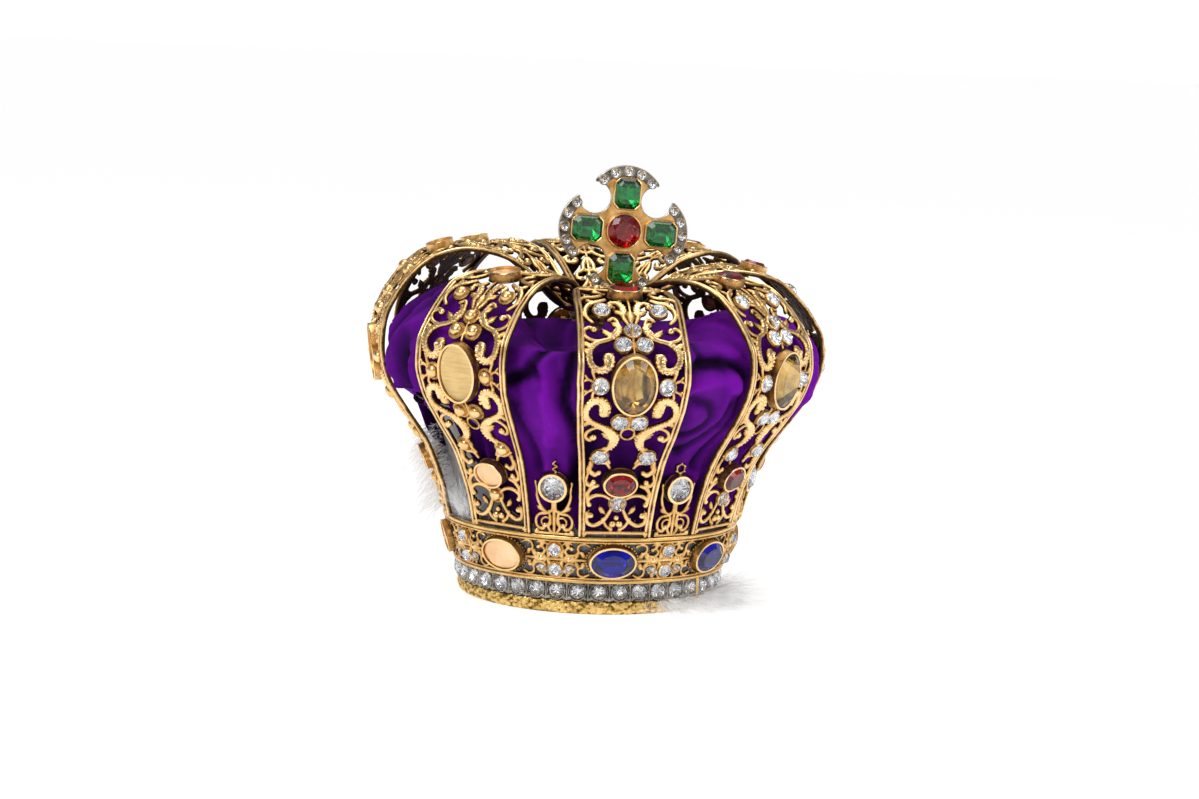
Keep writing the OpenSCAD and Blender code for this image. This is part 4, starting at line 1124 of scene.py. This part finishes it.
def make_cross():
    at = on_cross()
    plate = loft([level(cross_outline(inset), z) for inset, z in (
        (0.5, -PLATE_T), (0, -PLATE_T + 0.5), (0, -0.1), (0.5, 0.25), (0.9, -0.05))])
    gilded = loft([level(cross_outline(0.6, 19.6, 48.5, 80), z) for z in (-0.2, 0.3)])
    shape = Shape().add(*plate, at, wear=np.repeat([0.2, 0.5, 0.9, 1.0, 0.35], len(cross_outline())))
    shape.add(*gilded, at, slot=1, wear=0.55)
    shape.make("cross_plate_cut", [SILVERED, GILT], "cross", "silvered_metal", ["cross_plate"])
    quarters = [at @ Matrix.Rotation(math.pi / 2 * k, 4, "Z") for k in range(4)]
    small = []
    for quarter in quarters:
        for a in np.radians((-46, -23, 0, 23, 46)):
            x, y = CROSS_REACH - CROSS_ARC_R + CROSS_SMALL_R * math.cos(a), CROSS_SMALL_R * math.sin(a)
            small.append(quarter @ Matrix.Translation((x, y, 0)))
    collet = [(0.45, -0.2), (0.45, 0.8), (0.3, 1.5), (0.0, 1.7), (-0.3, 1.5), (-0.1, 1.1), (0, -0.2)]
    shape = Shape()
    for spot in small:
        shape.add(*rim(circle(CROSS_SMALL_D + 0.1, 24), collet), spot, wear=0.75)
    shape.make("cross_small_settings", [SILVERED], "cross", "silvered_metal")
    stones("cross_clear_stones", small, brilliant(CROSS_SMALL_D, 1.3, 2.8, 1.2), "clear",
           ["cross_small_stones"], "cross")
    arms = [quarter @ Matrix.Translation((0, EMERALD_AT, 0)) for quarter in quarters]
    wall = [(0.9, -0.1), (0.85, 0.6), (0.55, 1.0), (0.6, 3.4), (0.45, 3.9), (0.1, 4.05), (-0.4, 3.8),
            (-0.2, 3.2), (0, -0.1)]
    shape = Shape().add(*rim(circle(RUBY_D + STONE_ROOM, 48), wall), at, wear=0.85)
    corners = octagon(EMERALD[0] + STONE_ROOM, EMERALD[1] + STONE_ROOM, 3.4)
    rounded = [a + (b - a) * u for a, b in zip(corners, np.roll(corners, -1, axis=0))
               for u in (0.06, 0.3, 0.7, 0.94)]
    for spot in arms:
        shape.add(*rim(np.array(rounded), wall), spot, wear=0.85)
    shape.make("cross_settings", [GILT], "cross", "gilt_brass", ["cross_bezels"])
    stones("cross_red_stone", [at], brilliant(RUBY_D, 3.9, 7.0, 2.9, 0.6), "red", ["cross_ruby"], "cross")
    stones("cross_green_stones", arms, step_cut(*EMERALD, 3.3, 3.6, 6.2, 2.6), "green", ["cross_emeralds"],
           "cross")


# ---------------------------------------------------------------- soft parts
# Radius and height up the cap, from its hem
CAP_LINE = smooth_line([(97, 59), (99.5, 74), (104.5, 92), (110.5, 110.5), (119, 121.5), (130.5, 133.5),
                        (139, 147), (144.5, 166), (143.5, 180), (135.5, 191), (122, 199), (104, 201),
                        (84, 194), (60, 174), (30, 152), (4, 143)], 2.0)

# Places round the cap, in degrees from the front towards the right: the gaps either side of the front arch
# and a dip in the left one, the gap without a fleuron, where the velvet has pulled up there, where shade
# is painted darkest on it, where the lining shows, and the back
LEFT_GAP, RIGHT_GAP, DIP_AT = 337.5, 22.5, 341
BARE_GAP, PULLED_AT, SHADE_AT, SHOWN_AT, BACK_AT = 286, 280, 287, 282, 190
# Millimetres of cloth in one degree round the cap, and in the whole way up it
ROUND_MM, UP_MM = 2.35, 285
CLOTH_ROOM = 1.6
SETTLE_FRAMES = 16
HAIR_STEPS, HAIR_HALF = 5, 0.16
# Radius and height round the fur's hide
HIDE_LINE = [(88.4, 9.9), (89.2, 11), (89.4, 22), (91.2, 27), (98, 51), (98.4, 58), (94.5, 58), (88.2, 41)]
# Share up the lining, radius and height. It stands further in where it doesn't show
LINING_LINE = [(0, 92.5, 59.4), (0.05, 94.2, 61), (0.25, 97, 79), (0.5, 101.5, 95.5), (0.72, 106.7, 113.6),
               (0.85, 115, 125), (1, 126.2, 137)]
LINING_IN = 8
# Folds of the two gaps either side of the front: how deep, how wide, and the way each runs, in degrees
# round and share up. A negative depth is a ridge
# The depth also sets the shade painted in a fold; a ridge's negative depth paints light on it
FOLDS = [
    (9, 4.2, [(326, 0.385), (332, 0.405), (334.6, 0.43), (338, 0.465), (340.8, 0.49), (341.5, 0.54)]),
    (5, 2.6, [(334.2, 0.418), (336.2, 0.397), (336.6, 0.376)]),
    (-4, 3.4, [(339.5, 0.46), (336, 0.435), (334.6, 0.425)]),
    (-4, 4.5, [(336.8, 0.385), (338.4, 0.33), (338.6, 0.27), (337.2, 0.22)]),
    (8, 3.2, [(345.8, 0.49), (344.5, 0.444), (343.3, 0.389), (342.6, 0.348), (344, 0.31), (345.4, 0.27),
              (346, 0.23)]),
    (8, 8.0, [(349.5, 0.25), (348, 0.18), (344.5, 0.115), (341, 0.075), (337, 0.045)]),
    (4, 6.0, [(328, 0.33), (330, 0.24), (331.5, 0.15)]),
    (9, 4.2, [(10, 0.405), (15, 0.425), (19.5, 0.437), (26, 0.437), (31, 0.425), (35, 0.40)]),
    (4, 3.0, [(19, 0.44), (18, 0.47), (18.5, 0.51)]),
    (-3, 4.0, [(13, 0.37), (19, 0.395), (26, 0.40), (31, 0.37)]),
    (5, 4.2, [(17, 0.36), (22, 0.345), (24, 0.31), (21, 0.27), (15, 0.25)]),
    (5, 4.5, [(30.5, 0.36), (29, 0.30), (25, 0.245), (20, 0.205)]),
    (6, 5.0, [(34, 0.38), (33, 0.30), (30.5, 0.22), (28.5, 0.16)]),
    (7, 8.0, [(10, 0.11), (20, 0.085), (28, 0.07), (35, 0.09)])]


def velvet_look():
    """Silk velvet: dark across the pile, bright where it is seen along it, with crushed patches and painted
    shade in its folds.
    """
    sheen = dict(Sheen_Weight=0.22, Sheen_Roughness=0.3, Specular_IOR_Level=0.12)
    look = Look("purple_velvet", Roughness=0.8, **sheen)
    look.shader.inputs["Sheen Tint"].default_value = (0.55, 0.03, 0.80, 1)
    pile = look.noise(2600, 2, 0.6)
    crushed = look.mix(0.25, look.noise(38, 4, 0.65), pile)
    shade = look.add(look.times(look.attribute("painted_fold_shade"), 0.8), look.times(crushed, 0.45))
    # Colour from the painted shade of the folds, darkest in their valleys, and from the crushed patches
    colour = look.ramp(shade, (0.18, (0.004, 0.0001, 0.010)), (0.95, (0.165, 0.002, 0.34)),
                       (0.5, (0.058, 0.0004, 0.135)))
    height = look.add(look.times(pile, 0.35), look.noise(420, 3, 0.6))
    return look.drive(Base_Color=colour, Normal=look.bump(height, 0.14, 0.0006))


def lining_look():
    look = Look("grey_lining", Roughness=0.9, Sheen_Weight=0.3)
    stain = look.noise(40, 4, 0.6)
    colour = look.ramp(stain, (0.35, (0.13, 0.12, 0.12)), (0.62, (0.33, 0.31, 0.31)))
    weave = look.noise(1800, 2, 0.6)
    return look.drive(Base_Color=colour, Normal=look.bump(weave, 0.3, 0.0004))


def fur_look(name, dark, light, painted_glow):
    # painted_glow is an emission that paints light into the fur, so that white hairs stay white in shade
    look = Look(name, Roughness=0.6, Sheen_Weight=0.3, Emission_Strength=painted_glow)
    look.shader.inputs["Emission Color"].default_value = (1, 1, 1, 1)
    shade = look.noise(120, 3, 0.6)
    return look.drive(Base_Color=look.ramp(shade, (0.3, (dark,) * 3), (0.6, (light,) * 3)))


def waves(angle, rng, numbers, size):
    """A smooth, closed wave round the crown from a few harmonics."""
    share = size / len(numbers) ** 0.5 * math.sqrt(2)
    return sum(share * rng.normal() * np.cos(n * angle + rng.uniform(0, 6.28)) for n in numbers)


def gap_share(angle):
    """0 under an arch and 1 midway between two."""
    return 0.5 - 0.5 * np.cos(angle * ARCHES)


def near(angle, middle, width):
    """1 at a place, given in degrees round, and less away from it."""
    return bell((angle - math.radians(middle) + math.pi) % (2 * math.pi) - math.pi, 0, width)


def creases(across, up, seed):
    """Sharp-ridged folds of crumpled cloth, from 0 in a valley to 1 on a ridge."""
    out = np.empty(across.shape)
    for k, (a, b) in enumerate(zip(across.ravel(), up.ravel())):
        bend = noise.noise(Vector((a * 0.7, b * 0.7, seed))) * 1.1
        first = 1 - abs(noise.noise(Vector((a * 1.6 + bend, b * 0.75 - bend, seed + 7)))) * 2.4
        second = 1 - abs(noise.noise(Vector((a * 3.4 - bend, b * 1.9 + bend, seed + 19)))) * 2.4
        out.flat[k] = 0.7 * max(0, first) + 0.3 * max(0, second)
    return out


def press(angle, share):
    """How far the folds press the cloth in, mm, and how much shade is painted in them."""
    x, y = np.broadcast_arrays(np.degrees(angle)[None, :] * ROUND_MM, share * UP_MM)
    depth, dark = np.zeros(x.shape), np.zeros(x.shape)
    for deep, wide, line in FOLDS:
        line = smooth_line([(a * ROUND_MM, t * UP_MM) for a, t in line], 2.5)
        away = np.full(x.shape, 1e9)
        for (ax, ay), (bx, by) in zip(line[:-1], line[1:]):
            dx, dy = bx - ax, by - ay
            u = np.clip(((x - ax) * dx + (y - ay) * dy) / (dx ** 2 + dy ** 2), 0, 1)
            away = np.minimum(away, np.hypot(x - ax - u * dx, y - ay - u * dy))
        depth += deep * bell(away, 0, wide)
        dark += deep / 9 * bell(away, 0, wide * 0.8)
    return depth, dark


def cap_surface(columns, rows):
    """The velvet before it settles: gathered in at its hem, puffed between the arches, fallen in on top, with
    shade painted in its folds.
    """
    angle = turns(columns)
    along = np.concatenate([[0], np.cumsum(np.linalg.norm(np.diff(CAP_LINE, axis=0), axis=1))])
    t = np.linspace(0, 1, rows)[:, None]
    r, z = [np.interp(t * along[-1], along, CAP_LINE[:, k]) * np.ones(columns) for k in range(2)]
    rng = np.random.default_rng(21)
    # pulled up and out of the circlet in the gap that has lost its fleuron
    pulled_up = np.clip(2.2 * near(angle, PULLED_AT, 0.40), 0, 1)
    z = z + pulled_up * 74 * (1 - rise(t, 0, 0.34))
    r = r + pulled_up * 30 * (1 - rise(t, 0, 0.34))
    uneven = waves(angle, rng, (2, 3, 5, 7, 11), 3.0)
    z = z + bell(t, 0.66, 0.14) * (18 * near(angle, BARE_GAP, 0.45) + uneven)
    # lower in the two gaps either side of the front, with a dip in the middle of the left one, and at the back
    dip = near(angle, DIP_AT, 0.07)
    falls = rise(t, 0.46, 0.1) * rise(1 - t, 0, 0.15)
    z = z - (15 * dip + (20 + 26 * rise(t, 0.58, 0.14)) * near(angle, LEFT_GAP, 0.29)) * falls
    z = z - (12 + 22 * rise(t, 0.6, 0.14)) * near(angle, RIGHT_GAP, 0.25) * falls
    z = z - 42 * np.clip(1.25 * near(angle, BACK_AT, 0.95), 0, 1) * rise(t, 0.44, 0.16) * rise(1 - t, 0, 0.2)
    # gathers at the hem, crumpled folds over the rest, and the drawn folds of the two front gaps
    gap = gap_share(angle)
    gathers = (1 - pulled_up) * waves(angle, rng, (23, 29, 37, 46, 58, 71), 1.6) * bell(t, 0.05, 0.16)
    body = np.sin(rise(t, 0, 0.64) * math.pi) ** 0.6
    crumple = creases(np.cos(angle) * 3.6 + 0 * t, np.sin(angle) * 3.6 + t * 3.2, 4.0)
    slant = np.sin(angle * 21 + t * 15 + 4 * crumple)
    front = np.clip(near(angle, LEFT_GAP, 0.22) + near(angle, RIGHT_GAP, 0.22), 0, 1)
    folds = ((crumple - 0.5) * 20 + slant * 2.0) * (1 - 0.7 * front)
    pressed, dark = press(angle, t)
    r = r + gathers + (5.0 * gap + folds * (0.25 + 0.75 * gap) - 3.0 * (1 - gap)) * body - pressed
    r = r - 5 * dip * bell(t, 0.55, 0.12) + 5 * near(angle, BARE_GAP, 0.3) * bell(t, 0.55, 0.16)
    top = rise(t, 0.58, 0.12) * rise(1 - t, 0, 0.2)
    z = z + ((crumple - 0.5) * 12 + waves(angle, rng, (11, 17, 24, 31, 40), 1.6)) * top
    # Painted shade of the velvet: dark in the valleys of the creases and drawn folds and in the shaded left
    # gap, light on the ridges
    painted_fold_shade = (-0.02 + 1.15 * crumple + 0.12 * slant) * (1 - 0.75 * front) + 0.62 * 0.75 * front
    painted_fold_shade = np.clip(painted_fold_shade - dark - 0.5 * near(angle, SHADE_AT, 0.28), 0, 1)
    return around(r, angle, z), painted_fold_shade.ravel()


def stay_inside_arches(points):
    """Moves cloth that would stand in an arch's strip, or in a fleuron's stone, back inside it."""
    angle = np.arctan2(points[:, 0], -points[:, 1])
    between = (angle % TURN - TURN / 2) * 110
    most = np.interp(points[:, 2], [54, 60, FLEURON_Z], [99, 98, FLEURON_R - 6.5])
    most += 2.5 * np.clip(np.abs(between) - 10, 0, None)
    most += 2.5 * np.clip(points[:, 2] - FLEURON_Z - 7, 0, None)
    radius = np.hypot(points[:, 0], points[:, 1])
    radius = radius * np.minimum(1, most / radius)
    away = (angle + TURN / 2) % TURN - TURN / 2
    side, depth = radius * np.sin(away), radius * np.cos(away)
    section = np.stack([depth, points[:, 2]], axis=1)
    which = np.rint((angle - away) / TURN).astype(int) % ARCHES
    out, gap, half = np.zeros((len(points), 2)), np.zeros(len(points)), np.zeros(len(points))
    for i, (line, along, way) in enumerate(ARCH):
        mine = np.nonzero(which == i)[0]
        nearest = np.linalg.norm(line[None] - section[mine, None], axis=2).argmin(axis=1)
        out[mine] = np.stack([way[nearest, 1], -way[nearest, 0]], axis=1)
        gap[mine] = ((section[mine] - line[nearest]) * out[mine]).sum(axis=1)
        half[mine] = arch_half(along[nearest])
    over = np.clip(gap + RAIL_T + CLOTH_ROOM, 0, None) * (np.abs(side) < half + 2.5)
    return turned(side, depth - over * out[:, 0], points[:, 2] - over * out[:, 1], angle - away)


def make_velvet():
    columns, rows = 400, 120
    points, painted_fold_shade = cap_surface(columns, rows)
    mesh = new_mesh("velvet", stay_inside_arches(points), grid_faces(rows, columns, False, True))
    # The velvet's colour carries the shade painted into its folds
    mesh.attributes.new("painted_fold_shade", "FLOAT", "POINT").data.foreach_set("value", painted_fold_shade.astype(np.float32))
    mesh.materials.append(velvet_look())
    cap = piece("velvet_puffed_cap", mesh, replaces=["velvet_cap"])
    settle(cap, columns, rows)
    points = np.array([v.co for v in mesh.vertices]) / MM
    mesh.vertices.foreach_set("co", (stay_inside_arches(points) * MM).ravel())
    thicken(cap, 0.9)


def thicken(cloth, thick):
    """Gives a sheet its thickness, inwards."""
    modifier = cloth.modifiers.new("cloth", "SOLIDIFY")
    modifier.thickness, modifier.offset = thick * MM, -1
    done = bpy.data.meshes.new_from_object(cloth.evaluated_get(bpy.context.evaluated_depsgraph_get()))
    cloth.modifiers.clear()
    cloth.data = done
    done.shade_smooth()


def settle(cap, columns, rows):
    """Lets the velvet relax: a little too large, sewn at its hem and top, and held loosely between."""
    held = cap.vertex_groups.new(name="held")
    held.add(list(range(columns * rows)), 0.5, "REPLACE")
    held.add(list(range(columns * 2)) + list(range(columns * (rows - 1), columns * rows)), 1.0, "REPLACE")
    strips = []
    for i in range(ARCHES):
        s = np.arange(0, ARCH_LENGTH - 10, 8.0)
        n, half = len(s), arch_half(s)
        flat = np.vstack([np.stack([side * half, s, np.full(n, -RAIL_T)], axis=1) for side in (-1, 1)])
        faces = [(k, k + 1, k + 1 + n, k + n) for k in range(n - 1)]
        strip = new_object("strip", new_mesh("strip", bend_to_arch(flat, i), faces))
        strip.modifiers.new("wall", "COLLISION")
        strip.collision.thickness_outer = 0.001
        strips.append(strip)
    cloth = cap.modifiers.new("settle", "CLOTH")
    sets = cloth.settings
    sets.quality, sets.mass, sets.air_damping = 5, 0.004, 4
    sets.tension_stiffness = sets.compression_stiffness = 14
    sets.shear_stiffness, sets.bending_stiffness = 5, 0.08
    sets.shrink_min = -0.035
    sets.vertex_group_mass, sets.pin_stiffness = "held", 1.2
    sets.effector_weights.gravity = 0.3
    cloth.collision_settings.use_collision = True
    cloth.collision_settings.distance_min = 0.001
    cloth.collision_settings.use_self_collision = False
    cloth.point_cache.frame_start, cloth.point_cache.frame_end = 1, SETTLE_FRAMES
    for now in range(1, SETTLE_FRAMES + 1):
        bpy.context.scene.frame_set(now)
    settled = cap.evaluated_get(bpy.context.evaluated_depsgraph_get()).to_mesh()
    where = np.zeros(len(settled.vertices) * 3)
    settled.vertices.foreach_get("co", where)
    cap.modifiers.clear()
    cap.data.vertices.foreach_set("co", where)
    cap.vertex_groups.clear()
    bpy.context.scene.frame_set(1)
    for strip in strips:
        bpy.data.objects.remove(strip)


def strands(shape, roots, ways, lengths, rng, droop, floor):
    """Hairs as thin tapered blades that curve down under their own weight."""
    for root, way, length in zip(roots, ways, lengths):
        side = np.cross(way, rng.normal(size=3))
        side /= np.linalg.norm(side) + 1e-9
        curve = rng.normal(size=3) * 0.22 - (0, 0, droop)
        points = []
        for u in np.linspace(0, 1, HAIR_STEPS):
            spot = root + way * length * u + curve * length * u * u
            spot[2] = max(spot[2], floor + rng.uniform(0, 0.5))
            half = HAIR_HALF * (1 - 0.85 * u)
            points += [spot - side * half, spot + side * half]
        shape.add(points, [(k, k + 1, k + 3, k + 2) for k in range(0, 2 * HAIR_STEPS - 2, 2)])


def tuft(shape, rng, count, middle, spread, low, high, r_of_z, length, out, up, droop, floor=0.3):
    """Hairs rooted round a place, given in degrees round, between two heights."""
    turn = math.radians(middle) + rng.normal(size=count) * math.radians(spread)
    z = rng.uniform(low, high, count)
    roots = around(r_of_z(z) + rng.uniform(-1.5, 0.5, count), turn, z)
    ways = around(out, turn, 0) + rng.normal(size=(count, 3)) * 0.28 + np.array([0, 0, up])
    ways /= np.linalg.norm(ways, axis=1)[:, None]
    strands(shape, roots, ways, length * rng.uniform(0.45, 1.1, count), rng, droop, floor)


def make_fur(rng):
    """White fur on its hide behind the circlet, with the tufts that have worked out of it."""
    columns = 240
    angle = turns(columns)
    rows = [around(r + waves(angle, rng, (17, 29, 41, 67), 0.35), angle, z) for r, z in HIDE_LINE]
    hide = Shape().add(np.vstack(rows), grid_faces(len(rows), columns, True, True))
    hide.make("fur_hide", [fur_look("fur_hide", 0.10, 0.34, 0.0)], slot="fur", replaces=["fur_lining"])
    fur, loose = Shape(), Shape()
    behind = lambda z: np.interp(z, [24, 52, 110], [89.5, 97, 116])
    for middle in range(0, 360, 3):
        tuft(fur, rng, 14, middle, 1.6, 27, 51, behind, 7, 0.7, -0.6, 0.3)
        tuft(fur, rng, 4, middle, 1.6, 50, 57, behind, 9, 0.2, 0.8, 0.1)
    tuft(fur, rng, 320, BARE_GAP, 7, 54, 66, behind, 24, 0.3, 0.9, 0.15)
    tuft(loose, rng, 1100, 250, 5, 60, 112, lambda z: behind(z) - 3, 34, 0.9, -0.3, 0.6)
    tuft(loose, rng, 1100, 58, 16, 2, 9, lambda z: 90.5 + 0 * z, 34, 0.9, -0.02, 0.2)
    tuft(fur, rng, 320, 30, 5, 6, 10.5, lambda z: 91 + 0 * z, 13, 0.7, -0.5, 0.3)
    # The hairs glow a little: painted light that keeps the white fur from turning grey in shade
    fur.make("fur_hairs", [fur_look("white_fur", 0.55, 0.86, 0.12)], slot="fur", smooth_angle=0)
    loose.make("loose_fur", [fur_look("loose_white_fur", 0.66, 0.90, 0.10)], slot="fur", smooth_angle=0)


def make_lining(rng):
    """The grey lining under the velvet, which shows where the velvet has pulled up."""
    columns, rows = 220, 26
    angle = turns(columns)
    points = []
    for t in np.linspace(0, 1, rows):
        r, z = [lookup(t, [(row[0], row[k]) for row in LINING_LINE]) for k in (1, 2)]
        r = r + waves(angle, rng, (7, 13, 22, 31), 0.5) * math.sin(math.pi * min(1, t * 1.2))
        hidden = 1 - np.clip(1.6 * near(angle, SHOWN_AT, 0.36), 0, 1)
        points.append(around(r - LINING_IN * hidden * math.sin(math.pi * min(1, t * 1.1)), angle, z))
    mesh = new_mesh("lining", np.vstack(points), grid_faces(rows, columns, False, True))
    mesh.materials.append(lining_look())
    cloth = piece("cap_lining_cloth", mesh, replaces=["cap_lining"])
    thicken(cloth, 0.6)


# ---------------------------------------------------------------- carried CAD parts
def dress_cad():
    """Finishes for the CAD parts that stay: head band, hub, rivets, clip, and the cross's stem and nut."""
    plain_gilt = gilt("plain_gilding", (0.93, 0.70, 0.34), (0.72, 0.44, 0.14), (0.13, 0.065, 0.02), worn=0.7)
    plain_brown = gilt("plain_brown_brass", (0.5, 0.34, 0.16), (0.26, 0.16, 0.07), (0.05, 0.03, 0.015),
                       (0.35, 0.7), worn=0.6)
    hide = Look("brown_leather", Roughness=0.62)
    pores = hide.node("TexVoronoi", {"Vector": hide.where(), "Scale": 900.0})
    stain = hide.ramp(hide.noise(60, 4, 0.6), (0.3, (0.07, 0.035, 0.018)), (0.7, (0.2, 0.11, 0.06)))
    hide.drive(Base_Color=stain, Normal=hide.bump(pores, 0.25, 0.0004))
    for look, names in ((hide.material, ["head_band"]), (plain_brown, ["hub_ring", "hub_nuts", "cross_nut"]),
                        (plain_gilt, ["hub_plate", "hub_screws", "cross_stem", "strip_clip",
                                      "arch_foot_rivets"])):
        for name in names:
            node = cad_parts[name]
            node.data.materials.clear()
            node.data.materials.append(look)


make_arches()
make_settings()
make_circlet()
make_row()
make_braid()
make_fleurons()
make_cross()
make_velvet()
fur_draws = np.random.default_rng(30)
make_fur(fur_draws)
make_lining(fur_draws)
dress_cad()
make_stage()
